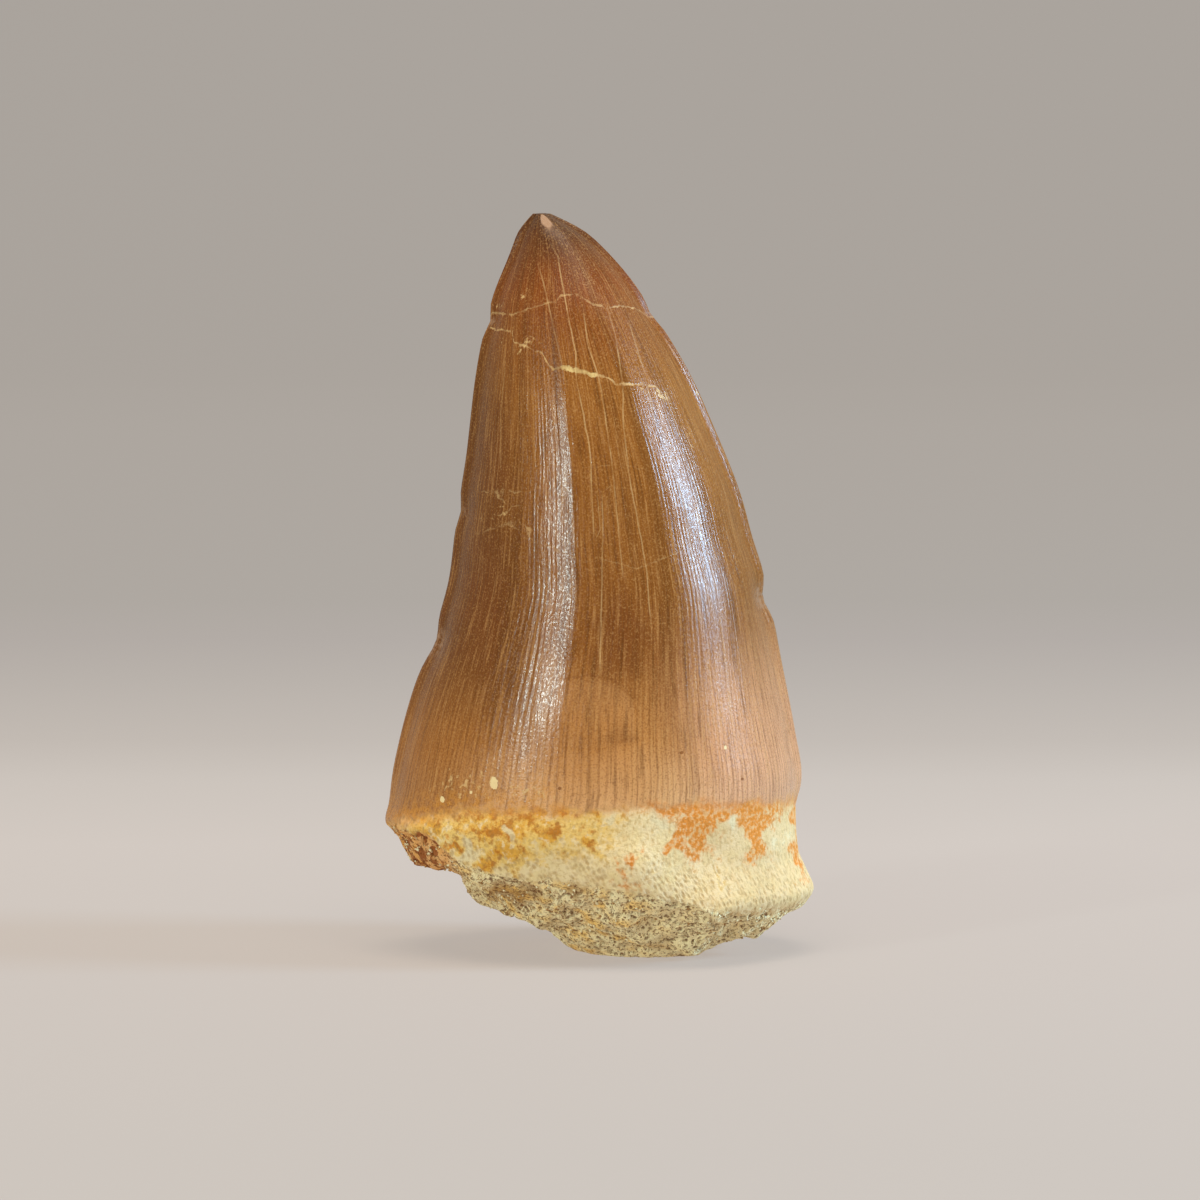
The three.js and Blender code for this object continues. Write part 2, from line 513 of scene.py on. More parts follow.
    def broken(self, angle: np.ndarray, climb: float) -> np.ndarray:
        """Find points of the break.

        Args:
            angle: Angles round from the convex keel, in radians.
            climb: The share of the way from the flat spot to the rim.

        Returns:
            The points, in the last axis.
        """
        rim = through(self.rim, np.degrees(angle))
        points = self.flat_spot(angle) * (1 - climb) + self.wall(angle, rim) * climb
        corner = np.maximum(0, -np.cos(angle)) ** self.corner_spread
        even = through(self.break_climb, np.array(climb))
        stepped = through(self.corner_climb, np.array(climb))
        share = (1 - corner) * even + corner * stepped
        lumps = sum(wave.at(points[..., 0], points[..., 1]) for wave in self.break_lumps)
        raised = rim * share + lumps * math.sin(math.pi * climb)
        points[..., 2] = np.maximum(raised, self.least_climb * climb)
        return points


@dataclass(frozen=True)
class Crack:
    """A crack across the crown, as across and up over the shown face, in millimetres."""

    path: Knots
    strength: float


@dataclass(frozen=True)
class LongLine:
    """A fine filled line that runs up the crown, as up and across, in millimetres."""

    path: Knots
    strength: float


@dataclass(frozen=True)
class Patch:
    """A soft patch of the shown face: its middle, its half sizes and its strength."""

    across: float
    up: float
    wide: float
    high: float
    strength: float = 1.0

    def share(self, across: np.ndarray, up: np.ndarray) -> np.ndarray:
        """Say how much of the patch is at a place."""
        reach = ((across - self.across) / self.wide) ** 2 + ((up - self.up) / self.high) ** 2
        return self.strength * np.exp(-reach)


@dataclass(frozen=True)
class FaceMap:
    """Cracks, filled lines and patches of colour, drawn over the shown face in millimetres."""

    tilt: float = math.radians(5.5)  # the face is drawn as it is seen from this far up
    ground: float = -0.48  # where the ground's front edge is on that drawing
    far: float = 9.0  # a mark that is further off than this doesn't count
    crack_fade: Span = (-0.2, 1.0)  # how a crack fades beyond its ends
    line_fade: Span = (-1.5, 0.5)
    mark_fade: Span = (0.4, 0.9)  # how a mark fades beside it, before another one takes over
    least_strength: float = 0.02
    hidden_wander: tuple[Wave, ...] = (Wave(0.7, 0, 1.0, 0.8), Wave(1.9, 0, 0, 0.5))
    hidden_shift: float = 0.9  # how far the long lines stand aside on the hidden face
    bends: tuple[Wave, ...] = (Wave(1.3, 2.1, 0, 0.45), Wave(4.3, -3.1, 0, 0.22))
    rises: tuple[Wave, ...] = (Wave(2.6, 0, 0.7, 0.35), Wave(3.3, 5.2, 0, 0.18))
    cracks: tuple[Crack, ...] = (
        Crack(
            (
                (-9.6, 53.9), (-9.1, 53.8), (-7.5, 53.3), (-5.6, 53.9), (-4.6, 54.2), (-3.6, 54.3),
                (-3.3, 54.9), (-1.8, 55.0), (-1.0, 54.4), (0.6, 53.8), (1.7, 54.1), (2.9, 53.9),
                (4.3, 53.2), (5.5, 52.9),
            ),
            0.6,
        ),
        Crack(
            (
                (-10.5, 53.0), (-9.3, 52.7), (-8.7, 52.2), (-7.3, 52.0), (-7.1, 51.0), (-6.2, 50.7),
                (-4.8, 50.1), (-4.2, 49.1), (-3.8, 48.7), (-3.0, 48.9), (-1.8, 48.7), (-0.8, 48.3),
                (0.7, 48.0), (1.3, 47.5), (4.0, 47.4), (4.9, 47.2),
            ),
            0.9,
        ),
        Crack(
            (
                (-9.8, 35.3), (-8.5, 35.8), (-7.3, 35.9), (-6.2, 35.2), (-5.2, 34.4), (-3.3, 33.8),
                (-1.2, 32.8), (0.2, 33.1), (1.7, 32.7), (3.0, 32.3), (3.8, 32.6), (5.6, 33.3),
                (7.1, 34.0),
            ),
            0.34,
        ),
        Crack(((-0.8, 40.6), (1.5, 40.9), (3.2, 40.5)), 0.22),
        Crack(((4.7, 46.9), (5.2, 46.4), (5.9, 45.6)), 0.32),
        Crack(((-8.3, 36.4), (-6.9, 36.3), (-5.4, 35.4)), 0.55),
        Crack(((-9.5, 38.7), (-8.1, 38.1), (-7.2, 37.0)), 0.5),
        Crack(((-8.3, 38.9), (-6.6, 38.6)), 0.42),
    )
    long_lines: tuple[LongLine, ...] = (
        LongLine(
            ((47.8, -3.0), (49.1, -3.1), (52.0, -3.8), (53.9, -4.2), (55.8, -4.6), (57.7, -5.2)),
            0.8,
        ),
        LongLine(
            (
                (34.8, -0.5), (41.8, -0.8), (45.2, -1.4), (48.1, -2.0), (50.1, -2.0), (52.6, -2.5),
                (55.2, -3.0), (58.4, -3.5), (59.2, -4.2),
            ),
            1.0,
        ),
        LongLine(((31.4, 1.9), (40.8, 1.0), (47.7, 0.0), (50.8, -1.0), (53.9, -1.4)), 0.9),
        LongLine(
            (
                (27.3, 4.2), (32.5, 3.8), (39.3, 2.5), (44.3, 1.9), (47.4, 1.9), (51.4, 1.3),
                (53.8, 0.6),
            ),
            0.75,
        ),
        LongLine(((23.5, 0.0), (33.5, 0.2), (38.8, 0.2)), 0.8),
        LongLine(((44.0, 4.6), (48.8, 3.6), (52.9, 2.3)), 0.5),
        LongLine(((24.0, -9.6), (28.0, -9.2), (32.0, -8.5)), 0.2),
        LongLine(((40.0, -8.2), (45.0, -8.2), (50.0, -7.8)), 0.3),
        LongLine(((28.0, 8.3), (36.0, 7.2), (43.0, 5.6)), 0.35),
    )
    flake: Knots = (
        (-3.2, 22.6), (-2.7, 23.3), (-1.2, 23.6), (0.2, 23.5), (1.3, 23.1), (2.2, 22.4), (3.0, 21.2),
    )
    gold: tuple[Patch, ...] = (
        Patch(-7.8, 11.0, 8.0, 2.3, 1.0),
        Patch(-8.2, 12.2, 1.6, 0.8, 1.3),
        Patch(-4.0, 12.3, 2.2, 0.8, 1.5),
        Patch(-0.3, 12.1, 0.5, 0.7, 1.3),
        Patch(-0.7, 9.8, 0.9, 1.1, 1.1),
        Patch(-7.9, 8.9, 2.2, 1.2, 1.3),
        Patch(-14.1, 11.0, 1.8, 1.5, 1.3),
        Patch(-9.7, 8.2, 0.8, 0.8, 1.5),
        Patch(-12.4, 9.4, 0.6, 1.0, 1.5),
        Patch(-4.2, 10.4, 0.7, 0.7, 1.4),
    )
    rust: tuple[Patch, ...] = (
        Patch(10.2, 12.7, 6.0, 1.0, 1.25),
        Patch(4.4, 13.2, 1.4, 0.5),
        Patch(8.1, 10.9, 1.5, 2.2, 1.2),
        Patch(12.9, 10.5, 1.0, 2.2, 1.2),
        Patch(6.3, 9.8, 0.9, 1.0),
        Patch(16.7, 10.4, 0.6, 3.4, 1.2),
        Patch(2.8, 8.7, 0.45, 1.0, 0.65),
        Patch(1.4, 7.4, 0.5, 1.1, 0.55),
        Patch(2.4, 6.2, 1.2, 1.0, 0.45),
        Patch(-12.7, 9.3, 0.4, 1.0, 0.7),
    )
    pale: tuple[Patch, ...] = (
        Patch(-11.1, 9.3, 0.8, 1.6),
        Patch(-7.4, 10.7, 0.8, 0.7),
        Patch(0.9, 11.7, 0.9, 0.7, 0.9),
        Patch(4.6, 11.6, 1.3, 1.0, 0.9),
        Patch(15.0, 9.8, 1.0, 1.1, 0.65),
        Patch(10.9, 11.2, 0.6, 0.9),
        Patch(3.4, 7.2, 2.0, 1.0, 0.5),
    )
    murky: tuple[Patch, ...] = (
        Patch(-2.0, 6.4, 1.4, 1.1),
        Patch(-7.4, 5.4, 2.8, 1.1, 1.2),
        Patch(-11.5, 7.2, 0.7, 0.5),
        Patch(9.4, 2.9, 1.6, 0.7, 0.8),
        Patch(4.2, 4.3, 1.5, 0.6, 0.4),
    )
    umber: tuple[Patch, ...] = (
        Patch(1.7, 26.8, 2.4, 4.4),
        Patch(1.7, 18.6, 1.1, 1.3, 0.7),
        Patch(-9.3, 29.5, 2.2, 9.0, 0.8),
        Patch(-8.5, 41.0, 1.6, 5.0, 0.7),
        Patch(-6.4, 57.5, 1.8, 3.4, 0.8),
        Patch(-4.0, 18.4, 4.0, 2.4, 0.4),
        Patch(14.6, 21.8, 0.3, 1.8, 0.45),
        Patch(15.7, 17.4, 0.3, 2.6, 0.45),
    )
    scuffs: tuple[Patch, ...] = (
        Patch(4.8, 46.8, 1.4, 0.9),
        Patch(-8.3, 36.8, 1.6, 1.6, 0.6),
        Patch(-6.2, 55.0, 0.9, 0.4),
        Patch(10.2, 38.3, 0.7, 0.6, 0.8),
        Patch(7.3, 43.4, 0.5, 1.2, 0.75),
        Patch(-11.0, 14.6, 5.0, 1.8, 0.75),
        Patch(-5.6, 13.9, 2.0, 1.4, 0.8),
        Patch(-8.8, 14.6, 0.5, 0.5),
        Patch(-6.4, 50.9, 1.7, 0.6, 0.9),
        Patch(-8.2, 54.1, 0.8, 0.5, 0.8),
    )

    def drawing(self, points: np.ndarray) -> tuple[np.ndarray, np.ndarray]:
        """Project points on the face's drawing.

        Args:
            points: The points, in the last axis.

        Returns:
            How far across and how far up each one is.
        """
        across, deep, height = np.moveaxis(points, -1, 0)
        return across, height * math.cos(self.tilt) + deep * math.sin(self.tilt) - self.ground

    def crack_field(self, points: np.ndarray, hidden: np.ndarray) -> tuple[np.ndarray, np.ndarray]:
        """Say how far from the nearest crack each point is, and how strong that crack is there.

        Args:
            points: The points, in the last axis.
            hidden: 1 on the hidden face, where the cracks take another way, and 0 on the shown one.

        Returns:
            The distances, negative below the crack, and the strengths.
        """
        across, up = self.drawing(points)
        wander = hidden * sum(wave.at(across, up) for wave in self.hidden_wander)
        gaps, strengths = [], []
        for crack in self.cracks:
            places, heights = np.array(crack.path).T
            gaps.append(up + wander - np.interp(across, places, heights))
            beyond = np.maximum(places[0] - across, across - places[-1])
            strengths.append(crack.strength * (1 - ramp(beyond, *self.crack_fade)))
        return self.nearest(gaps, strengths)

    def line_field(self, points: np.ndarray, hidden: np.ndarray) -> tuple[np.ndarray, np.ndarray]:
        """Say how far from the nearest long line each point is, and how strong that line is.

        Args:
            points: The points, in the last axis.
            hidden: 1 on the hidden face, where the lines stand elsewhere.

        Returns:
            The distances, negative to the left of the line, and the strengths.
        """
        across, up = self.drawing(points)
        gaps, strengths = [], []
        for line in self.long_lines:
            heights, places = np.array(line.path).T
            gaps.append(across - self.hidden_shift * hidden - np.interp(up, heights, places))
            beyond = np.maximum(heights[0] - up, up - heights[-1])
            strengths.append(line.strength * (1 - ramp(beyond, *self.line_fade)))
        return self.nearest(gaps, strengths)

    def flake_field(self, points: np.ndarray, hidden: np.ndarray) -> np.ndarray:
        """Say how far over the arc of the shallow flake each point is.

        Args:
            points: The points, in the last axis.
            hidden: 0 on the shown face, which alone has the flake.

        Returns:
            The distances, and a far one where a point is beside the arc.
        """
        across, up = self.drawing(points)
        places, heights = np.array(self.flake).T
        beside = (across < places[0]) | (across > places[-1]) | (hidden > 0)
        over = np.clip(up - np.interp(across, places, heights), -self.far, self.far)
        return np.where(beside, self.far, over)

    def nearest(
        self, gaps: Sequence[np.ndarray], strengths: Sequence[np.ndarray]
    ) -> tuple[np.ndarray, np.ndarray]:
        """Take the nearest mark at each point, where marks that have faded away don't count.

        Args:
            gaps: How far each mark is from the points.
            strengths: How strong each mark is there.

        Returns:
            The distance to the nearest mark, and its strength.
        """
        gaps, strengths = np.stack(gaps), np.stack(strengths)
        faded = strengths < self.least_strength
        chosen = (np.abs(gaps) + self.far * faded).argmin(0)[None]
        gap = np.take_along_axis(gaps, chosen, 0)[0]
        strength = np.take_along_axis(strengths, chosen, 0)[0]
        strength = strength * (1 - ramp(np.abs(gap), *self.mark_fade))
        return np.clip(gap, -self.far, self.far), strength

    def patches(self, kind: Sequence[Patch], points: np.ndarray, hidden: np.ndarray) -> np.ndarray:
        """Say how much of a kind of patch is at each point.

        Args:
            kind: The patches.
            points: The points, in the last axis.
            hidden: 1 on the hidden face, where the patches are mirrored.

        Returns:
            The strength of the strongest patch there.
        """
        across, up = self.drawing(points)
        turned = across * (1 - 2 * hidden)
        bent = turned + sum(wave.at(turned, up) for wave in self.bends)
        raised = up + sum(wave.at(turned, up) for wave in self.rises)
        return np.max([patch.share(bent, raised) for patch in kind], axis=0)


@dataclass(frozen=True)
class Pores:
    """The pits of open bone, as cells of a field."""

    size: float
    stretch: float
    edge: float
    middle: float

    def field(self, graph: Graph, place: Wire) -> Wire:
        """Make the pits' field.

        Args:
            graph: The graph to build in.
            place: Where the field is read, in millimetres.

        Returns:
            1 in the middle of a pit and 0 on the bone between.
        """
        long = graph.vector_math("MULTIPLY", place, (1, 1, 1 / self.stretch))
        sockets = {"Vector": long, "Scale": 1 / self.size, "Randomness": 0.85}
        return graph.add("ShaderNodeTexVoronoi", {}, sockets).ramp(self.edge, self.middle)


SPONGE = Pores(size=0.44, stretch=1.0, edge=0.5, middle=0.2)
WALL_PORES = Pores(size=0.34, stretch=1.7, edge=0.58, middle=0.12)
WALL_GIRTH = 15.0  # the root's wall is read as a round one of this radius
RIM_RAGGEDNESS = 2.0
RIM_EDGE: Span = (-0.35, 0.45)  # past the rim, where broken bone takes over from the wall
ENAMEL_WANDER = 2.8  # how far the enamel's edge wanders up and down


def bone_places(graph: Graph) -> tuple[Wire, Wire]:
    """Find where the bone's two patterns are read.

    Args:
        graph: The graph to build in.

    Returns:
        The place for the sponge of the break, and for the long pores of the wall.
    """
    rest = graph.attribute("rest", vector=True)
    wrap = graph.attribute("wrap", vector=True)
    return rest, graph.vector_math("MULTIPLY", wrap, (WALL_GIRTH, WALL_GIRTH, 1))


def broken_share(graph: Graph, place: Wire) -> Wire:
    """Say how much of the surface is broken bone, with a ragged rim, from 0 to 1."""
    ragged = (graph.noise(place, 0.8, 3.0, 0.6) - 0.5) * RIM_RAGGEDNESS
    return (graph.attribute("past_rim") + ragged).ramp(*RIM_EDGE)


def bone_share(graph: Graph, place: Wire, soft: float) -> Wire:
    """Say how much of the surface is bone and not enamel.

    Args:
        graph: The graph to build in.
        place: Where the noise of the edge is read, in millimetres.
        soft: How far the enamel's edge fades out over the bone, in millimetres.

    Returns:
        The share from 0 to 1.
    """
    wander = (graph.noise(place, 1.2, 3.0, 0.6) - 0.5) * ENAMEL_WANDER
    return (graph.attribute("below_enamel") + wander).ramp(-soft, soft)


@dataclass(frozen=True)
class ToothSurface:
    """The tooth's fine surface, with its relief and its finish."""

    form: ToothForm
    drawn: FaceMap
    bone_columns: int = 720
    crown_columns: int = 360
    crowding: float = 0.12  # how far the columns crowd towards the keels, in radians
    spot_rows: int = 3
    break_rows: int = 46
    root_rows: int = 44
    crown_rows: int = 66
    root_reach: float = 14.6  # the fine rows of the root end at this height, on the enamel
    tip_crowding: float = 0.08
    enamel_edge: Knots = (
        (0, 12.8), (60, 13.2), (90, 13.0), (130, 12.2), (155, 11.4), (180, 10.8), (200, 11.2),
        (212, 12.0), (222, 12.7), (238, 13.1), (252, 13.3), (264, 13.5), (278, 13.8), (296, 13.7),
        (316, 13.5), (360, 12.8),
    )
    worn_place: tuple[float, float, float] = (-4.9, 0.29, 60.84)
    worn_normal: tuple[float, float, float] = (-0.14, -0.62, 0.77)
    face_turn: Span = (-0.1, 0.1)  # where the shown face gives way to the hidden one
    on_tip: float = -50  # how far the tip's middle point is past the rim
    pit_depth: float = 0.22
    pore_depth: float = 0.04
    lump_depth: float = 0.4
    lump_size: float = 2.4
    swell_size: float = 3.2
    spot_edge: Span = (0.0, 0.8)  # heights over which the relief sets in above the flat spot
    spot_relief: float = 0.2  # the share of it that the flat spot keeps
    pores_open: Span = (-6.5, -0.5)  # past the rim, where the wall's pores set in
    enamel_step: float = 0.05
    step_softness: float = 0.25

    def angles(self, columns: int) -> np.ndarray:
        """Spread columns round the tooth, a little closer at the keels."""
        even = np.arange(columns) / columns * 2 * math.pi
        return even - self.crowding * np.sin(2 * even)

    def rings(self) -> list[dict[str, np.ndarray]]:
        """Make the rings of points from the middle of the flat spot to the tip.

        Returns:
            A ring each: its points, angles, and how far its bone is past the rim.
        """
        angle = self.angles(self.bone_columns)
        degrees = np.degrees(angle)
        rim = through(self.form.rim, degrees)
        spot, edge = self.form.flat_spot(angle), self.form.wall(angle, rim)
        reach = np.linalg.norm(edge - spot, axis=-1)
        rings = []
        for row in range(1, self.spot_rows + 1):
            share = row / (self.spot_rows + 1)
            points = spot.mean(0) + (spot - spot.mean(0)) * share
            rings.append({"points": points, "angle": angle, "past_rim": reach + 1})
        for row in range(self.break_rows):
            climb = row / self.break_rows
            points = self.form.broken(angle, climb)
            rings.append({"points": points, "angle": angle, "past_rim": reach * (1 - climb)})
        for row in range(self.root_rows):
            height = rim + (self.root_reach - rim) * row / self.root_rows
            points = self.form.wall(angle, height)
            rings.append({"points": points, "angle": angle, "past_rim": rim - height})
        angle = self.angles(self.crown_columns)
        rim = through(self.form.rim, np.degrees(angle))
        for row in range(self.crown_rows, -1, -1):
            from_tip = math.hypot(row / self.crown_rows, self.tip_crowding) - self.tip_crowding
            drop = from_tip / (math.hypot(1, self.tip_crowding) - self.tip_crowding)
            height = self.form.height - (self.form.height - self.root_reach) * drop + 0 * angle
            points = self.form.wall(angle, height)
            rings.append({"points": points, "angle": angle, "past_rim": rim - height})
        return rings

    def faces(self, counts: Sequence[int], last: int) -> list[tuple[int, ...]]:
        """Join rings of points by faces that look outwards.

        Args:
            counts: How many points each ring has, each the same as or half of the one before.
            last: The number of the tip's middle point. The flat spot's middle is point 0.

        Returns:
            The faces.
        """
        starts = np.concatenate([[1], 1 + np.cumsum(counts)])
        found: list[tuple[int, ...]] = []
        first = starts[0]
        found += [(0, first + (k + 1) % counts[0], first + k) for k in range(counts[0])]
        for ring, (below, above) in enumerate(zip(counts, counts[1:])):
            low, high = int(starts[ring]), int(starts[ring + 1])
            step = below // above
            for k in range(above):
                a, b = low + k * step, low + (k + 1) * step % below
                c, d = high + (k + 1) % above, high + k
                if step == 1:
                    found.append((a, b, c, d))
                else:
                    found += [(a, a + 1, d), (a + 1, c, d), (a + 1, b, c)]
        top = int(starts[-2])
        found += [(last, top + k, top + (k + 1) % counts[-1]) for k in range(counts[-1])]
        return found

    def base_mesh(self, centre: Vector) -> bpy.types.Mesh:
        """Make the smooth form with the attributes that its relief and finish read.

        Args:
            centre: Where the middle of its box is put, across and deep, in millimetres.

        Returns:
            The mesh, in metres.
        """
        rings = self.rings()
        low, high = rings[0], rings[-1]
        points = np.concatenate([ring["points"] for ring in rings])
        points = np.concatenate([[low["points"].mean(0)], points, [high["points"].mean(0)]])
        box = (points.min(0) + points.max(0)) / 2
        points[:, :2] += np.array(centre)[:2] - box[:2]
        angle = np.concatenate([[0], *[ring["angle"] for ring in rings], [0]])
        reaches = [ring["past_rim"] for ring in rings]
        past_rim = np.concatenate([[low["past_rim"].mean()], *reaches, [self.on_tip]])
        counts = [len(ring["points"]) for ring in rings]
        worn = self.wear_tip(points)

        mesh = bpy.data.meshes.new("tooth_surface")
        mesh.from_pydata((points * MM).tolist(), [], self.faces(counts, len(points) - 1))
        mesh.shade_smooth()
        hidden = ramp(np.sin(angle), *self.face_turn)
        below_enamel = through(self.enamel_edge, np.degrees(angle)) - points[:, 2]
        numbers = {
            "past_rim": past_rim,
            "below_enamel": below_enamel + np.maximum(0, past_rim),
            "worn": worn,
            "chipped": self.form.chipped(angle, points[:, 2]),
        }
        numbers["crack"], numbers["crack_strength"] = self.drawn.crack_field(points, hidden)
        numbers["line"], numbers["line_strength"] = self.drawn.line_field(points, hidden)
        numbers["flake"] = self.drawn.flake_field(points, hidden)
        for kind in ("gold", "rust", "pale", "murky", "umber", "scuffs"):
            numbers[kind] = self.drawn.patches(getattr(self.drawn, kind), points, hidden)
        for name, values in numbers.items():
            stored = mesh.attributes.new(name, "FLOAT", "POINT")
            stored.data.foreach_set("value", values.astype(np.float32))
        wrap = np.stack([np.cos(angle), np.sin(angle), points[:, 2]], axis=-1)
        for name, values in {"rest": points, "wrap": wrap}.items():
            stored = mesh.attributes.new(name, "FLOAT_VECTOR", "POINT")
            stored.data.foreach_set("vector", values.astype(np.float32).ravel())
        return mesh

    def wear_tip(self, points: np.ndarray) -> np.ndarray:
        """Cut the small worn facet on the shown side of the point.

        Args:
            points: The tooth's points, which are changed.

        Returns:
            How much each point was cut back.
        """
        normal = np.array(self.worn_normal) / np.linalg.norm(self.worn_normal)
        cut = np.maximum(0, (points - np.array(self.worn_place)) @ normal)
        points -= cut[:, None] * normal
        return cut

    def relief_tree(self, finish: bpy.types.Material) -> bpy.types.NodeTree:
        """Build the nodes that work the relief into the form.

        Args:
            finish: The material that the result is given.

        Returns:
            The node tree, with inputs for the depths in millimetres.
        """
        tree = bpy.data.node_groups.new("tooth_relief", "GeometryNodeTree")
        shape = {"in_out": "INPUT", "socket_type": "NodeSocketGeometry"}
        tree.interface.new_socket("Form", **shape)
        for name in ("Pit Depth", "Pore Depth", "Lump Depth", "Enamel Step"):
            tree.interface.new_socket(name, in_out="INPUT", socket_type="NodeSocketFloat")
        tree.interface.new_socket("Tooth", in_out="OUTPUT", socket_type="NodeSocketGeometry")
        graph = Graph(tree)
        inputs = graph.node("NodeGroupInput", {}, {})
        wires = [Wire(graph, socket) for socket in inputs.outputs[:5]]
        form, pit_depth, pore_depth, lump_depth, enamel_step = wires

        place, wall_place = bone_places(graph)
        past_rim = graph.attribute("past_rim")
        broken = broken_share(graph, place)
        bone = bone_share(graph, place, self.step_softness)
        off_spot = graph.parts(place)[2].ramp(*self.spot_edge)
        kept_relief = off_spot * (1 - self.spot_relief) + self.spot_relief

        lumps = graph.noise(place, self.lump_size, 3.0, 0.6).ramp(0.35, 0.75)
        pits = SPONGE.field(graph, place) * pit_depth * graph.noise(place, 1.6, 1.0).ramp(0.3, 0.6)
        in_break = (lumps * lump_depth + pits) * broken * kept_relief
        near_break = past_rim.ramp(*self.pores_open)
        in_wall = WALL_PORES.field(graph, wall_place) * pore_depth * near_break
        swells = graph.noise(wall_place, self.swell_size, 2.0).ramp(0.35, 0.8) * pore_depth
        depth = in_break + (in_wall + swells + enamel_step) * bone * (1 - broken)
        normal = graph.add("GeometryNodeInputNormal", {}, {})
        inwards = {0: normal, "Scale": depth * -MM}
        offset = graph.add("ShaderNodeVectorMath", {"operation": "SCALE"}, inwards)
        moved = graph.add("GeometryNodeSetPosition", {}, {"Geometry": form, "Offset": offset})
        real = graph.add("GeometryNodeRealizeInstances", {}, {"Geometry": moved})
        dressed = graph.add("GeometryNodeSetMaterial", {}, {"Geometry": real, "Material": finish})
        graph.node("NodeGroupOutput", {}, {"Tooth": dressed})
        return tree

    def build(self, centre: Vector, finish: bpy.types.Material) -> bpy.types.Object:
        """Make the finished surface.

        Args:
            centre: The middle of the solid's box, in millimetres.
            finish: Its material.

        Returns:
            The object, at the origin.
        """
        depths = {
            "Pit Depth": self.pit_depth,
            "Pore Depth": self.pore_depth,
            "Lump Depth": self.lump_depth,
            "Enamel Step": self.enamel_step,
        }
        return grown("tooth_surface", self.base_mesh(centre), self.relief_tree(finish), depths)


@dataclass(frozen=True)
class MatrixCrumbs:
    """Grains of rock that cling to the broken bone."""

    per_square_millimetre: float = 1.1
    radius: float = 0.15
    smallest: tuple[float, float, float] = (0.5, 0.5, 0.4)
    largest: tuple[float, float, float] = (1.5, 1.4, 1.0)
    from_rim: Span = (-0.5, 1.0)  # where the grains set in, past the rim
    off_ground: Span = (1.0, 2.0)
    seed: int = 11
    turn_seed: int = 3
    size_seed: int = 4
    pale: Colour = seen(244, 228, 182)
    brown: Colour = seen(168, 122, 66)
    mottle: float = 0.5
    roughness: float = 0.85

    def finish(self) -> bpy.types.Material:
        """Make the grains' material.

        Returns:
            The material, which reads places on the object itself.
        """
        material = bpy.data.materials.new("rock_crumbs")
        material.use_nodes = True
        material.node_tree.nodes.clear()
        graph = Graph(material.node_tree)
        sockets = {0: graph.add("ShaderNodeTexCoord", {}, {}, "Object"), "Scale": 1 / MM}
        place = graph.add("ShaderNodeVectorMath", {"operation": "SCALE"}, sockets)
        mottled = graph.noise(place, self.mottle, 2.0).ramp(0.42, 0.62)
        colour = graph.mix(mottled, self.pale, self.brown)
        sockets = {"Base Color": colour, "Roughness": self.roughness}
        shader = graph.add("ShaderNodeBsdfPrincipled", {}, sockets)
        graph.node("ShaderNodeOutputMaterial", {}, {"Surface": shader})
        return material

    def tree(self) -> bpy.types.NodeTree:
        """Build the nodes that strew the grains over the break.

        Returns:
            The node tree, with the tooth and the seed as its inputs.
        """
        tree = bpy.data.node_groups.new("crumbs", "GeometryNodeTree")
        tree.interface.new_socket("Tooth", in_out="INPUT", socket_type="NodeSocketGeometry")
        tree.interface.new_socket("Seed", in_out="INPUT", socket_type="NodeSocketInt")
        tree.interface.new_socket("Grains", in_out="OUTPUT", socket_type="NodeSocketGeometry")
        graph = Graph(tree)
        inputs = graph.node("NodeGroupInput", {}, {})
        tooth, seed = Wire(graph, inputs.outputs[0]), Wire(graph, inputs.outputs[1])
        height = graph.parts(graph.attribute("rest", vector=True))[2]
        near = graph.attribute("past_rim").ramp(*self.from_rim) * height.ramp(*self.off_ground)
        density = near * (self.per_square_millimetre / MM**2)
        sockets = {"Mesh": tooth, "Density": density, "Seed": seed}
        points = graph.add("GeometryNodeDistributePointsOnFaces", {}, sockets)
        grain_sockets = {"Radius": self.radius * MM, "Subdivisions": 1}
        grain = graph.add("GeometryNodeMeshIcoSphere", {}, grain_sockets)
        vectors = {"data_type": "FLOAT_VECTOR"}
        full_turn = (2 * math.pi, 2 * math.pi, 2 * math.pi)
        turn_range = {"Min": (0, 0, 0), "Max": full_turn, "Seed": self.turn_seed}
        turns = graph.add("FunctionNodeRandomValue", vectors, turn_range)
        size_range = {"Min": self.smallest, "Max": self.largest, "Seed": self.size_seed}
        sizes = graph.add("FunctionNodeRandomValue", vectors, size_range)
        placed = {"Points": points, "Instance": grain, "Rotation": turns, "Scale": sizes}
        strewn = graph.add("GeometryNodeInstanceOnPoints", {}, placed)
        real = graph.add("GeometryNodeRealizeInstances", {}, {"Geometry": strewn})
        sockets = {"Geometry": real, "Material": self.finish()}
        dressed = graph.add("GeometryNodeSetMaterial", {}, sockets)
        graph.node("NodeGroupOutput", {}, {"Grains": dressed})
        return tree

    def build(self, tooth: bpy.types.Object) -> bpy.types.Object:
        """Strew the grains over a finished tooth.

        Args:
            tooth: The tooth, with the attributes of its surface.

        Returns:
            The grains as one object.
        """
        crumbs = grown("matrix_crumbs", tooth.data.copy(), self.tree(), {"Seed": self.seed})
        crumbs.data.shade_smooth()
        return crumbs


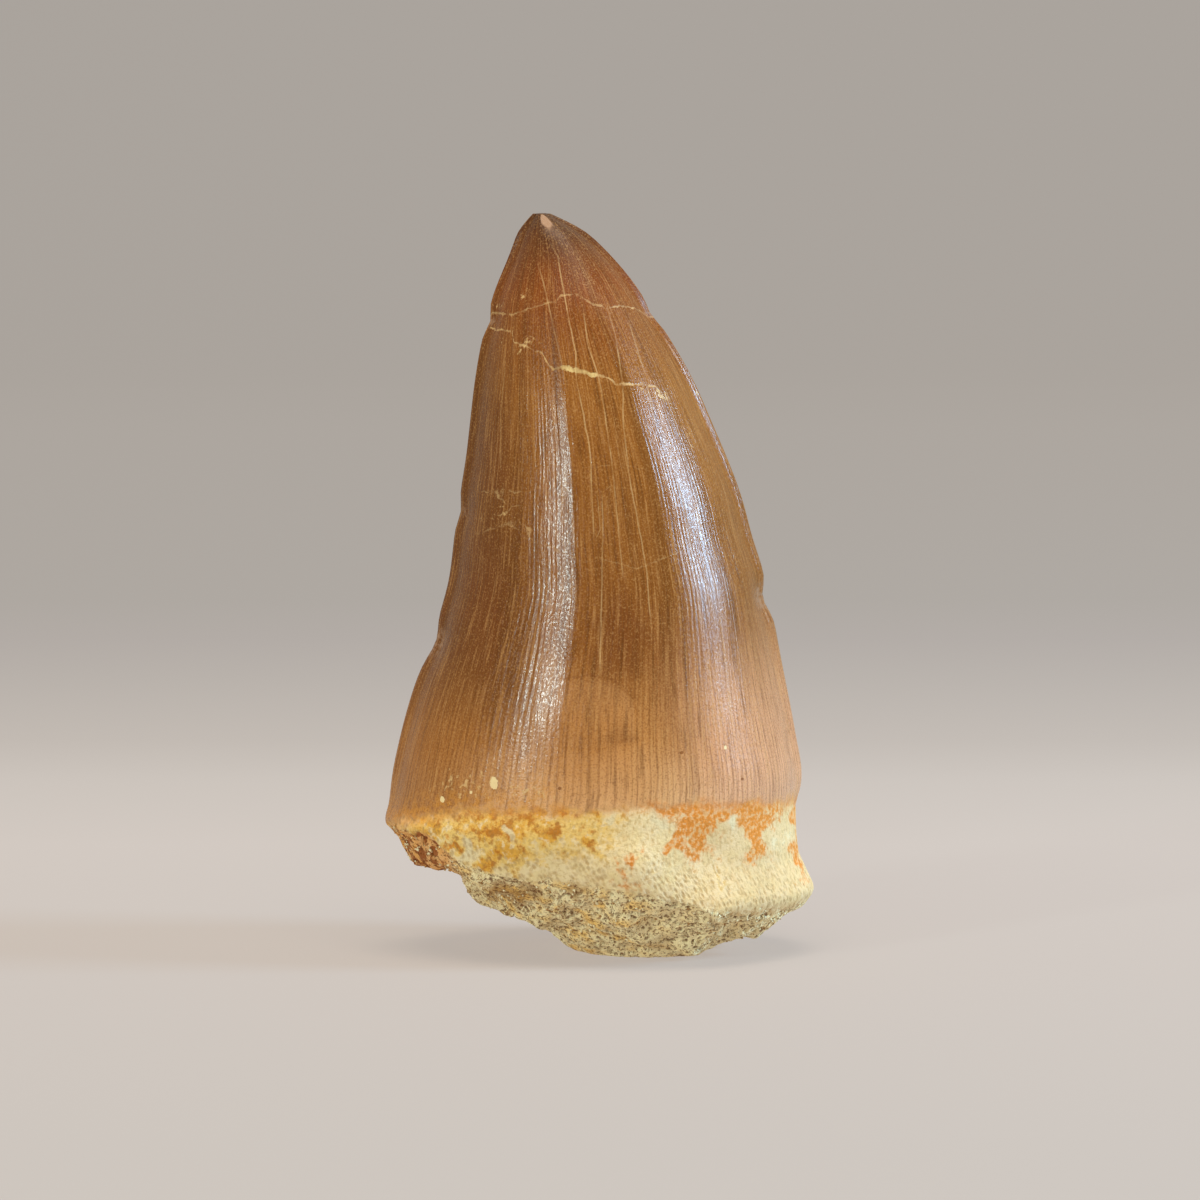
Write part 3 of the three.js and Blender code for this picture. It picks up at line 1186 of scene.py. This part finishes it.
def grown(
    name: str, mesh: bpy.types.Mesh, tree: bpy.types.NodeTree, inputs: Mapping[str, object]
) -> bpy.types.Object:
    """Run a Geometry Nodes tree over a mesh and keep the result as a plain mesh.

    Args:
        name: The finished object's name.
        mesh: What the tree works on.
        tree: The node tree.
        inputs: Values for the tree's named inputs.

    Returns:
        The object, with no modifier.
    """
    source = bpy.data.objects.new(name + "_form", mesh)
    bpy.context.scene.collection.objects.link(source)
    modifier = source.modifiers.new("grow", "NODES")
    modifier.node_group = tree
    for item in tree.interface.items_tree:
        if item.in_out == "INPUT" and item.name in inputs:
            modifier[item.identifier] = inputs[item.name]
    graph = bpy.context.evaluated_depsgraph_get()
    plain = bpy.data.meshes.new_from_object(source.evaluated_get(graph), depsgraph=graph)
    source.modifiers.remove(modifier)
    bpy.data.objects.remove(source)
    plain.name = name
    made = bpy.data.objects.new(name, plain)
    bpy.context.scene.collection.objects.link(made)
    return made


@dataclass(frozen=True)
class EnamelFinish:
    """The glossy brown enamel, from the dark tip down to the pale foot of the crown."""

    dark: Colour = seen(46, 17, 0)
    tip: Colour = seen(124, 58, 0)
    upper: Colour = seen(148, 91, 32)
    middle: Colour = seen(138, 83, 28)
    lower: Colour = seen(191, 130, 70)
    foot: Colour = seen(239, 186, 131)
    # the pinkish tone of the lower right, partly the crown's own colour and partly a painted sheen
    rose_and_sheen: Colour = seen(226, 165, 125)
    amber: Colour = seen(146, 86, 22)
    streak: Colour = seen(88, 48, 8)
    umber: Colour = seen(112, 60, 20)
    pale: Colour = seen(196, 146, 88)
    dust: Colour = seen(206, 138, 50)
    rib_count: int = 172
    rib_wander: float = 9
    rib_depth: float = 0.013
    rib_share: float = 0.65  # of the regular ribs, beside the uneven ones
    uneven_share: float = 2.0
    ribbed: Span = (59, 50)  # heights between which the ribs set in below the tip
    grain_depth: float = 0.017
    roughness: float = 0.14
    gloss_spread: float = 0.16
    sparkle: float = 0.18
    tip_dullness: float = 0.1
    tip_reach: Span = (48, 55)
    blotch_size: float = 8.0
    blotch_reach: float = 8.0  # how far the bands of colour wander up and down
    streak_girth: float = 12.0  # the streaks are read on a round tooth of this radius
    streak_rise: float = 0.05  # and pressed this flat, so that they run up the crown

    def ribs(self, graph: Graph) -> Wire:
        """Build the fine ribs that run up the crown, as a number from -1 to 1.

        Args:
            graph: The graph to build in.

        Returns:
            The ribs' wave.
        """
        wrap = graph.attribute("wrap", vector=True)
        across, deep, _ = graph.parts(wrap)
        angle = across.math("ARCTAN2", deep, across)
        wander = graph.noise(graph.vector_math("MULTIPLY", wrap, (9, 9, 0.12)), 1.0, 2.0)
        return (angle * self.rib_count + (wander - 0.5) * self.rib_wander).sine()

    def colour(self, graph: Graph, ribs: Wire) -> Wire:
        """Build the enamel's colour.

        Args:
            graph: The graph to build in.
            ribs: The ribs, from -1 to 1.

        Returns:
            The colour.
        """
        place = graph.attribute("rest", vector=True)
        x, _, z = graph.parts(place)
        wrap = graph.attribute("wrap", vector=True)
        blotch = graph.noise(place, self.blotch_size, 3.0)
        height = (z + (blotch - 0.5) * self.blotch_reach) / TOOTH_HEIGHT
        stops = [
            (0.18, self.foot),
            (0.3, self.lower),
            (0.44, self.middle),
            (0.78, self.upper),
            (0.9, self.tip),
            (1.0, self.dark),
        ]
        base = graph.add("ShaderNodeValToRGB", {"stops": stops}, {"Fac": height}, "Color")
        stretch = (self.streak_girth, self.streak_girth, self.streak_rise)
        streaks = graph.vector_math("MULTIPLY", wrap, stretch)
        broad = graph.noise(streaks, 2.0, 3.0)
        fine = graph.noise(streaks, 0.34, 3.0, 0.65)
        hair = graph.noise(streaks, 0.17, 1.0)
        # painted shade down the left side, a pinkish tone with a painted sheen on the lower right,
        # amber on the lower left
        left = (x + z * 0.12).ramp(0.0, -5.0) * z.ramp(15, 24)
        base = graph.mix(left * 0.72, base, self.streak)
        # on the lower right the pinkish tone is partly the crown's own and partly a painted sheen
        right = (x + z * 0.22).ramp(8.0, 15.0) * z.ramp(32, 16)
        base = graph.mix(right * 0.7, base, self.rose_and_sheen)
        low_left = x.ramp(-4, -13) * z.ramp(27, 14)
        base = graph.mix(low_left * 0.75, base, self.amber)
        # the drawn brown patches, then the streaks, which are faint on the foot
        patchy = graph.attribute("umber") + (blotch - 0.5) * 0.6
        base = graph.mix(patchy.ramp(0.1, 0.9) * 0.6, base, self.umber)
        high = z.ramp(13, 30) * 0.65 + 0.35
        base = graph.mix(broad.ramp(0.48, 0.72) * high * 0.42, base, self.streak)
        base = graph.mix(fine.ramp(0.5, 0.72) * high * 0.5, base, self.streak)
        base = graph.mix(fine.ramp(0.46, 0.28) * 0.26, base, self.pale)
        base = graph.mix(ribs.ramp(0.2, 1.0) * (1.35 - high) * 0.3, base, self.umber)
        base = graph.mix(hair.ramp(0.52, 0.7) * 0.3, base, self.streak)
        base = graph.mix(hair.ramp(0.46, 0.3) * 0.22, base, self.pale)
        # iron dust on the left, over the bone
        dusty = graph.attribute("below_enamel").ramp(-3.4, 0.4) * x.ramp(-1.0, -6.0)
        dusty = dusty * graph.noise(place, 0.8, 3.0, 0.7).ramp(0.4, 0.6)
        base = graph.mix(dusty * 0.75, base, self.dust)
        # the shallow flake: paler inside, with a darker edge
        flake = graph.attribute("flake")
        base = graph.mix(flake.ramp(0.0, -0.7) * flake.ramp(-5.0, -1.0) * 0.08, base, self.foot)
        base = graph.mix(abs(flake).ramp(0.16, 0.03) * 0.26, base, self.umber)
        speck = graph.noise(place, 0.14, 2.0, 0.6)
        base = graph.mix(speck.ramp(0.5, 0.66) * 0.4, base, self.umber)
        return graph.mix(speck.ramp(0.48, 0.32) * 0.36, base, self.pale)

    def relief(self, graph: Graph, ribs: Wire) -> Wire:
        """Build the height of the enamel's fine ribs and grain, in millimetres.

        Args:
            graph: The graph to build in.
            ribs: The ribs, from -1 to 1.

        Returns:
            The height.
        """
        wrap = graph.attribute("wrap", vector=True)
        z = graph.parts(wrap)[2]
        bundles = graph.vector_math("MULTIPLY", wrap, (14, 14, 0.1))
        strength = graph.noise(bundles, 0.8, 2.0).ramp(0.3, 0.7)
        uneven = graph.noise(graph.vector_math("MULTIPLY", wrap, (22, 22, 0.1)), 0.5, 2.0)
        grain = graph.noise(graph.vector_math("MULTIPLY", wrap, (13, 13, 0.7)), 0.16, 2.0, 0.6)
        raised = ribs * strength * self.rib_share + uneven * self.uneven_share
        return raised * self.rib_depth * z.ramp(*self.ribbed) + grain * self.grain_depth

    def gloss(self, graph: Graph) -> Wire:
        """Build the enamel's roughness, uneven and with a fine sparkle.

        Args:
            graph: The graph to build in.

        Returns:
            The roughness.
        """
        place = graph.attribute("rest", vector=True)
        wrap = graph.attribute("wrap", vector=True)
        sparkle = graph.noise(graph.vector_math("MULTIPLY", wrap, (13, 13, 0.6)), 0.15, 1.0)
        sparkle = sparkle.ramp(0.42, 0.58) * self.sparkle
        tip = graph.parts(place)[2].ramp(*self.tip_reach) * self.tip_dullness
        cloud = graph.noise(place, 2.5, 3.0)
        return (cloud - 0.5) * self.gloss_spread + sparkle + tip + self.roughness


@dataclass(frozen=True)
class BoneFinish:
    """The chalky root bone, its iron stains, and the brown sponge where it is broken."""

    cream: Colour = seen(236, 210, 154)
    ivory: Colour = seen(242, 218, 172)
    pale: Colour = seen(232, 212, 166)
    tan: Colour = seen(212, 168, 108)
    yellow: Colour = seen(238, 194, 98)
    gold: Colour = seen(224, 160, 50)
    amber: Colour = seen(182, 108, 28)
    rust: Colour = seen(226, 134, 38)
    pore: Colour = seen(168, 128, 74)
    sponge: Colour = seen(255, 208, 122)
    sponge_pale: Colour = seen(255, 236, 182)
    murk: Colour = seen(164, 112, 48)
    pit: Colour = seen(118, 62, 10)
    chunk: Colour = seen(144, 66, 12)
    chunk_pale: Colour = seen(232, 150, 62)
    roughness: float = 0.86
    pore_depth: float = 0.04
    pit_depth: float = 0.14
    wall_grain: float = 0.08
    break_grain: float = 0.14

    def wall_colour(self, graph: Graph) -> Wire:
        """Build the colour of the root's unbroken wall.

        Args:
            graph: The graph to build in.

        Returns:
            The colour.
        """
        place, wall_place = bone_places(graph)
        past_rim = graph.attribute("past_rim")
        cloud = graph.noise(place, 1.5, 4.0, 0.65)
        fine = graph.noise(place, 0.35, 2.0, 0.6)
        base = graph.mix(cloud.ramp(0.35, 0.65), self.cream, self.ivory)
        fibres = graph.noise(graph.vector_math("MULTIPLY", wall_place, (1, 1, 0.3)), 0.5, 3.0, 0.65)
        base = graph.mix(fibres.ramp(0.5, 0.7) * 0.45, base, self.tan)
        # painted shade: the wall is darker and warmer towards the right, to temper the light that
        # falls on that side
        x, _, _ = graph.parts(place)
        base = graph.mix(x.ramp(2.0, 13.0) * 0.46, base, self.tan)
        ragged = (cloud - 0.5) * 1.5 + (fine - 0.5) * 0.9
        # the golden stain: a yellow rim, a gold middle, amber clumps and gaps
        gold = graph.attribute("gold") + ragged
        base = graph.mix(gold.ramp(0.1, 0.6) * 0.8, base, self.yellow)
        base = graph.mix(gold.ramp(0.65, 1.15) * 0.85, base, self.gold)
        clump = graph.noise(place, 1.3, 4.0, 0.68)
        base = graph.mix(gold.ramp(0.35, 0.9) * clump.ramp(0.5, 0.6) * 0.82, base, self.amber)
        base = graph.mix(gold.ramp(0.1, 0.6) * clump.ramp(0.46, 0.38) * 0.7, base, self.ivory)
        # rust, and the pale spots that it spares
        rust = (graph.attribute("rust") + ragged * 0.8).ramp(0.22, 0.75)
        base = graph.mix(rust * (fine.ramp(0.36, 0.58) * 0.6 + 0.4), base, self.rust)
        pale = (graph.attribute("pale") + ragged * 0.6).ramp(0.4, 0.8)
        base = graph.mix(pale * 0.9, base, self.pale)
        # a rusty edge under the enamel
        below = graph.attribute("below_enamel")
        near = (below + (cloud - 0.5) * 2.0).ramp(1.1, -0.2)
        base = graph.mix(near * 0.5, base, self.rust)
        # the pores, which open towards the break
        low = past_rim.ramp(-6.0, -0.5) * 0.75 + 0.25
        open_bone = low * graph.noise(place, 1.8, 2.0).ramp(0.2, 0.55)
        pores = WALL_PORES.field(graph, wall_place) * open_bone
        base = graph.mix(pores * 0.55, base, self.pore)
        return graph.mix(fine.ramp(0.5, 0.68) * 0.35, base, self.pore)

    def break_colour(self, graph: Graph) -> Wire:
        """Build the colour of the broken sponge.

        Args:
            graph: The graph to build in.

        Returns:
            The colour.
        """
        place, _ = bone_places(graph)
        x, _, _ = graph.parts(place)
        cloud = graph.noise(place, 1.6, 4.0)
        base = graph.mix(cloud.ramp(0.32, 0.56), self.sponge, self.sponge_pale)
        murky = (graph.attribute("murky") + (cloud - 0.5) * 1.4).ramp(0.15, 0.75)
        base = graph.mix(murky * 0.6, base, self.murk)
        clump = graph.noise(place, 0.6, 3.0, 0.6)
        base = graph.mix(clump.ramp(0.52, 0.6) * 0.3, base, self.murk)
        # paler towards the right: partly the sponge's own paler tone, partly painted light that lifts
        # its shaded underside
        base = graph.mix(x.ramp(0.0, 8.0) * 0.75, base, self.sponge_pale)
        # the rusty corner on the left
        base = graph.mix(x.ramp(-11.0, -13.0) * 0.7, base, self.chunk_pale)
        rusty = x.ramp(-11.5, -13.5) * graph.noise(place, 0.9, 3.0, 0.6).ramp(0.46, 0.56)
        base = graph.mix(rusty * 0.85, base, self.chunk)
        pits = SPONGE.field(graph, place) * graph.noise(place, 0.9, 2.0).ramp(0.42, 0.64)
        specks = graph.noise(place, 0.27, 2.0, 0.65).ramp(0.57, 0.6)
        return graph.mix(pits.most(specks * 0.9) * 0.85, base, self.pit)

    def relief(self, graph: Graph, broken: Wire) -> Wire:
        """Build the height of the bone's pores and grain, in millimetres.

        Args:
            graph: The graph to build in.
            broken: The share of broken bone.

        Returns:
            The height.
        """
        place, wall_place = bone_places(graph)
        near_break = graph.attribute("past_rim").ramp(-7.0, -1.5)
        wall = WALL_PORES.field(graph, wall_place) * -self.pore_depth * near_break
        sponge = SPONGE.field(graph, place) * -self.pit_depth
        coarse = broken * (self.break_grain - self.wall_grain) + self.wall_grain
        grain = graph.noise(place, 0.24, 3.0, 0.6) * coarse
        return wall * (1 - broken) + sponge * broken + grain


@dataclass(frozen=True)
class FillingFinish:
    """The pale rock that fills the cracks and the worn places."""

    cream: Colour = seen(216, 178, 120)
    straw: Colour = seen(224, 196, 128)
    worn: Colour = seen(166, 130, 102)
    crack_width: float = 0.1
    crack_jag: float = 0.7
    gape: float = 0.12  # how much wider the long crack is where it gapes
    gape_place: tuple[float, float] = (-2.0, 48.9)  # across, and up from the ground
    line_jag: float = 0.15
    line_edge: Span = (0.09, 0.015)
    thickness: float = 0.012  # how far a filled place lies below the enamel
    line_share: float = 0.56
    scuff_share: float = 0.7
    crack_share: float = 0.85
    speck_share: float = 0.7
    fleck_share: float = 0.9
    chip_share: float = 0.5
    flecks: tuple[Patch, ...] = (
        Patch(-8.7, 15.3, 0.33, 0.5),
        Patch(-13.0, 13.6, 0.17, 0.24),
        Patch(10.3, 18.2, 0.13, 0.17),
        Patch(-10.6, 14.4, 0.12, 0.14),
        Patch(-3.0, 60.5, 0.34, 0.14),
        Patch(-6.7, 59.8, 0.12, 0.24),
    )
    specks: tuple[Patch, ...] = (
        Patch(6.7, 18.0, 0.15, 0.13),
        Patch(-3.3, 15.1, 0.14, 0.14),
        Patch(11.7, 15.5, 0.13, 0.12),
        Patch(8.5, 13.0, 0.12, 0.12),
    )

    def thick(self, graph: Graph) -> Wire:
        """Build where the long crack gapes and holds the most rock.

        Args:
            graph: The graph to build in.

        Returns:
            The share from 0 to 1.
        """
        x, _, z = graph.parts(graph.attribute("rest", vector=True))
        across, up = self.gape_place
        return abs(x - across).ramp(2.4, 1.0) * abs(z - up).ramp(2.2, 1.2)

    def cracks(self, graph: Graph) -> Wire:
        """Build how much of the surface is filled crack.

        Args:
            graph: The graph to build in.

        Returns:
            The share from 0 to 1.
        """
        place = graph.attribute("rest", vector=True)
        jag = (graph.noise(place, 0.7, 3.0, 0.7) - 0.5) * self.crack_jag
        gap = abs(graph.attribute("crack") + jag)
        strength = graph.attribute("crack_strength")
        uneven = graph.noise(place, 1.0, 3.0, 0.6).ramp(0.3, 0.65)
        width = (uneven * 0.9 + 0.2) * self.crack_width * strength + self.thick(graph) * self.gape
        return (gap - width).ramp(0.07, -0.05) * (strength * (uneven * 0.75 + 0.3)).least(1.0)

    def lines(self, graph: Graph) -> Wire:
        """Build how much of the surface is filled long line.

        Args:
            graph: The graph to build in.

        Returns:
            The share from 0 to 1.
        """
        place = graph.attribute("rest", vector=True)
        jag = (graph.noise(place, 1.4, 2.0) - 0.5) * self.line_jag
        uneven = graph.noise(place, 1.9, 3.0).ramp(0.3, 0.6)
        gap = abs(graph.attribute("line") + jag)
        return gap.ramp(*self.line_edge) * graph.attribute("line_strength") * (uneven * 0.65 + 0.2)

    def spots(self, graph: Graph, spots: Sequence[Patch]) -> Wire:
        """Build small crisp spots on the shown face, from 0 to 1.

        Args:
            graph: The graph to build in.
            spots: The spots, where up is the height over the ground.

        Returns:
            The share of spot.
        """
        place = graph.attribute("rest", vector=True)
        x, y, z = graph.parts(place)
        wobble = (graph.noise(place, 0.28, 2.0) - 0.5) * 1.8
        nearest: Wire | float = 9.0
        for spot in spots:
            across, up = (x - spot.across) / spot.wide, (z - spot.up) / spot.high
            nearest = (across * across + up * up).least(nearest)
        return (nearest + wobble).ramp(1.15, 0.85) * y.ramp(0, -2)

    def scuffs(self, graph: Graph) -> Wire:
        """Build how much of the surface is scuffed down to paler flecks.

        Args:
            graph: The graph to build in.

        Returns:
            The share from 0 to 1.
        """
        place = graph.attribute("rest", vector=True)
        flecks = graph.noise(place, 0.45, 3.0, 0.65)
        return (graph.attribute("scuffs") * 0.3 + flecks).ramp(0.74, 0.86)


@dataclass(frozen=True)
class ToothFinish:
    """The tooth's one material, from enamel, bone and filling."""

    enamel: EnamelFinish = EnamelFinish()
    bone: BoneFinish = BoneFinish()
    filling: FillingFinish = FillingFinish()
    edge_softness: float = 0.85  # how far the enamel fades out over the bone
    specular: float = 0.29

    def marked_enamel(self, graph: Graph, marks: Mapping[str, Wire]) -> Wire:
        """Build the enamel's colour with its cracks, lines, flecks and worn places.

        Args:
            graph: The graph to build in.
            marks: How much of the surface is each kind of mark.

        Returns:
            The colour.
        """
        filling = self.filling
        colour = self.enamel.colour(graph, marks["ribs"])
        place = graph.attribute("rest", vector=True)
        chipped = graph.attribute("chipped").ramp(0.15, 0.35)
        chipped = chipped * graph.noise(place, 0.4, 2.0).ramp(0.4, 0.6)
        colour = graph.mix(marks["lines"] * filling.line_share, colour, filling.cream)
        colour = graph.mix(filling.scuffs(graph) * filling.scuff_share, colour, filling.cream)
        filler = graph.mix(filling.thick(graph), filling.cream, filling.straw)
        colour = graph.mix(marks["cracks"] * filling.crack_share, colour, filler)
        specks = filling.spots(graph, filling.specks)
        colour = graph.mix(specks * filling.speck_share, colour, self.bone.pit)
        colour = graph.mix(marks["flecks"] * filling.fleck_share, colour, self.bone.cream)
        return graph.mix(marks["worn"].most(chipped * filling.chip_share), colour, filling.worn)

    def build(self) -> bpy.types.Material:
        """Make the material.

        Returns:
            The material, which reads the tooth's own attributes.
        """
        material = bpy.data.materials.new("fossil_tooth")
        material.use_nodes = True
        material.node_tree.nodes.clear()
        graph = Graph(material.node_tree)
        place, _ = bone_places(graph)
        broken = broken_share(graph, place)
        bone = bone_share(graph, place, self.edge_softness)
        ribs = self.enamel.ribs(graph)
        cracks = self.filling.cracks(graph)
        lines = self.filling.lines(graph)
        flecks = self.filling.spots(graph, self.filling.flecks)
        worn = graph.attribute("worn").ramp(0.005, 0.04)
        marks = {"ribs": ribs, "cracks": cracks, "lines": lines, "flecks": flecks, "worn": worn}

        wall_colour, break_colour = self.bone.wall_colour(graph), self.bone.break_colour(graph)
        bone_colour = graph.mix(broken, wall_colour, break_colour)
        colour = graph.mix(bone, self.marked_enamel(graph, marks), bone_colour)

        filled = cracks.most(lines * 0.6).most(worn).most(flecks)
        dull = bone.most(filled * 0.8)
        roughness = self.enamel.gloss(graph) + dull * (self.bone.roughness - self.enamel.roughness)
        height = self.enamel.relief(graph, ribs) * (1 - bone)
        height = height + self.bone.relief(graph, broken) * bone - filled * self.filling.thickness
        bump_sockets = {"Strength": 1.0, "Distance": MM, "Height": height}
        sockets = {
            "Base Color": colour,
            "Roughness": roughness,
            "Normal": graph.add("ShaderNodeBump", {}, bump_sockets),
            "Specular IOR Level": self.specular,
        }
        shader = graph.add("ShaderNodeBsdfPrincipled", {}, sockets)
        graph.node("ShaderNodeOutputMaterial", {}, {"Surface": shader})
        return material


@dataclass(frozen=True)
class Softbox:
    """A soft studio light, placed round the tooth."""

    name: str
    turn: float  # degrees to the right of the camera
    climb: float  # degrees over the tooth's middle
    distance: float
    width: float
    height: float
    power: float
    colour: Colour

    def build(self, target: Vector) -> None:
        """Hang the light and aim it.

        Args:
            target: What it is aimed at, in metres.
        """
        light = bpy.data.lights.new(self.name, "AREA")
        light.shape = "RECTANGLE"
        light.size, light.size_y = self.width * MM, self.height * MM
        light.energy, light.color = self.power, self.colour
        hung = bpy.data.objects.new(self.name, light)
        turn, climb = math.radians(self.turn), math.radians(self.climb)
        level = math.cos(climb)
        out = Vector((math.sin(turn) * level, -math.cos(turn) * level, math.sin(climb)))
        hung.location = target + out * self.distance * MM
        hung.rotation_euler = (-out).to_track_quat("-Z", "Y").to_euler()
        bpy.context.scene.collection.objects.link(hung)


@dataclass
class Studio:
    """The pale floor that sweeps up behind, the lights and the camera."""

    view_climb: float = 5.5
    view_height: float = 29.4
    distance: float = 600.0
    frame_width: float = 100.0
    sensor: float = 36.0
    floor_front: float = -900.0
    sweep_start: float = 700.0
    sweep_radius: float = 200.0
    wall_top: float = 1100.0
    sweep_steps: int = 24
    half_width: float = 1100.0
    glow: float = 0.76
    floor_roughness: float = 0.9
    nearest_seen: float = 10.0
    furthest_seen: float = 10000.0
    sky: Colour = (1.0, 0.97, 0.93)
    sky_strength: float = 0.32
    painted_shade_span: Span = (-100.0, 600.0)
    # painted light and shade over the floor and wall, by depth
    painted_shade_stops: Sequence[tuple[float, Colour]] = (
        (0.0, seen(190, 181, 173)),
        (0.14, seen(194, 184, 176)),
        (0.24, seen(198, 188, 180)),
        (0.31, seen(193, 184, 176)),
        (0.36, seen(184, 175, 167)),
        (0.45, seen(175, 167, 160)),
        (0.51, seen(170, 162, 156)),
        (0.58, seen(167, 160, 153)),
        (1.0, seen(172, 165, 158)),
    )
    lights: tuple[Softbox, ...] = (
        Softbox(
            name="left_softbox",
            turn=-42,
            climb=14,
            distance=600,
            width=76,
            height=120,
            power=1.5,
            colour=(0.76, 0.92, 0.9),
        ),
        Softbox(
            name="right_softbox",
            turn=84,
            climb=21,
            distance=600,
            width=150,
            height=180,
            power=4.9,
            colour=(0.42, 0.7, 1.0),
        ),
        Softbox(
            name="top_softbox",
            turn=10,
            climb=78,
            distance=800,
            width=600,
            height=500,
            power=6.4,
            colour=(1.0, 0.88, 0.74),
        ),
    )
    target: Vector = field(init=False)

    def __post_init__(self) -> None:
        """Work out what the camera looks at."""
        self.target = Vector((0, 0, self.view_height * MM))

    def build_sweep(self) -> bpy.types.Object:
        """Make the floor and the wall as one swept sheet.

        Returns:
            The sheet.
        """
        profile = [(self.floor_front, 0.0), (self.sweep_start, 0.0)]
        for step in range(1, self.sweep_steps + 1):
            turn = step / self.sweep_steps * math.pi / 2
            back = self.sweep_start + self.sweep_radius * math.sin(turn)
            profile.append((back, self.sweep_radius * (1 - math.cos(turn))))
        profile.append((self.sweep_start + self.sweep_radius, self.wall_top))
        sides = (-self.half_width, self.half_width)
        points = [(x * MM, y * MM, z * MM) for y, z in profile for x in sides]
        faces = [(2 * k, 2 * k + 1, 2 * k + 3, 2 * k + 2) for k in range(len(profile) - 1)]
        mesh = bpy.data.meshes.new("sweep")
        mesh.from_pydata(points, [], faces)
        mesh.shade_smooth()
        mesh.materials.append(self.sweep_material())
        sweep = bpy.data.objects.new("sweep", mesh)
        bpy.context.scene.collection.objects.link(sweep)
        return sweep

    def sweep_material(self) -> bpy.types.Material:
        """Make the sweep's pale colour, with painted shade further back and a glow that softens
        shadows.

        Returns:
            The material.
        """
        material = bpy.data.materials.new("sweep_paint_and_shade")
        material.use_nodes = True
        material.node_tree.nodes.clear()
        graph = Graph(material.node_tree)
        deep = graph.parts(graph.add("ShaderNodeTexCoord", {}, {}, "Object"))[1] / MM
        # painted light and shade: the colour by depth lifts the floor a little way back, where the
        # light falls off, then darkens it towards the wall
        first, last = self.painted_shade_span
        share = (deep - first) / (last - first)
        colour = graph.add("ShaderNodeValToRGB", {"stops": self.painted_shade_stops}, {"Fac": share}, "Color")
        sockets = {
            "Base Color": graph.mix(self.glow, colour, (0.0, 0.0, 0.0)),
            "Emission Color": colour,
            "Emission Strength": self.glow,
            "Roughness": self.floor_roughness,
        }
        shader = graph.add("ShaderNodeBsdfPrincipled", {}, sockets)
        graph.node("ShaderNodeOutputMaterial", {}, {"Surface": shader})
        return material

    def build_camera(self) -> None:
        """Set the camera where the tooth is seen from."""
        camera = bpy.data.cameras.new("camera")
        camera.sensor_width = self.sensor
        camera.lens = self.sensor * self.distance / self.frame_width
        camera.clip_start = self.nearest_seen * MM
        camera.clip_end = self.furthest_seen * MM
        stand = bpy.data.objects.new("camera", camera)
        climb = math.radians(self.view_climb)
        out = Vector((0, -math.cos(climb), math.sin(climb)))
        stand.location = self.target + out * self.distance * MM
        stand.rotation_euler = (-out).to_track_quat("-Z", "Y").to_euler()
        bpy.context.scene.collection.objects.link(stand)
        bpy.context.scene.camera = stand

    def build(self) -> None:
        """Set up the whole studio."""
        self.build_sweep()
        for light in self.lights:
            light.build(self.target)
        self.build_camera()
        world = bpy.data.worlds.new("studio")
        world.use_nodes = True
        background = world.node_tree.nodes["Background"]
        background.inputs["Color"].default_value = (*self.sky, 1.0)
        background.inputs["Strength"].default_value = self.sky_strength
        bpy.context.scene.world = world
        bpy.context.scene.view_settings.view_transform = "Standard"


def main() -> None:
    """Build the studio and the tooth, and log how many triangles each piece has."""
    logging.basicConfig(level=logging.INFO, format="%(name)s: %(message)s")
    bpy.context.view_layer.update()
    low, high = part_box("tooth")
    centre = (low + high) / 2 / MM
    Studio().build()
    LOG.info("studio built")
    finish = ToothFinish().build()
    tooth = ToothSurface(ToothForm(), FaceMap()).build(centre, finish)
    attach(tooth, "root")
    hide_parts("tooth")
    crumbs = MatrixCrumbs().build(tooth)
    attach(crumbs, "root")
    for piece in (tooth, crumbs):
        piece.data.calc_loop_triangles()
        LOG.info("%s: %d triangles", piece.name, len(piece.data.loop_triangles))


if __name__ == "__main__":
    main()
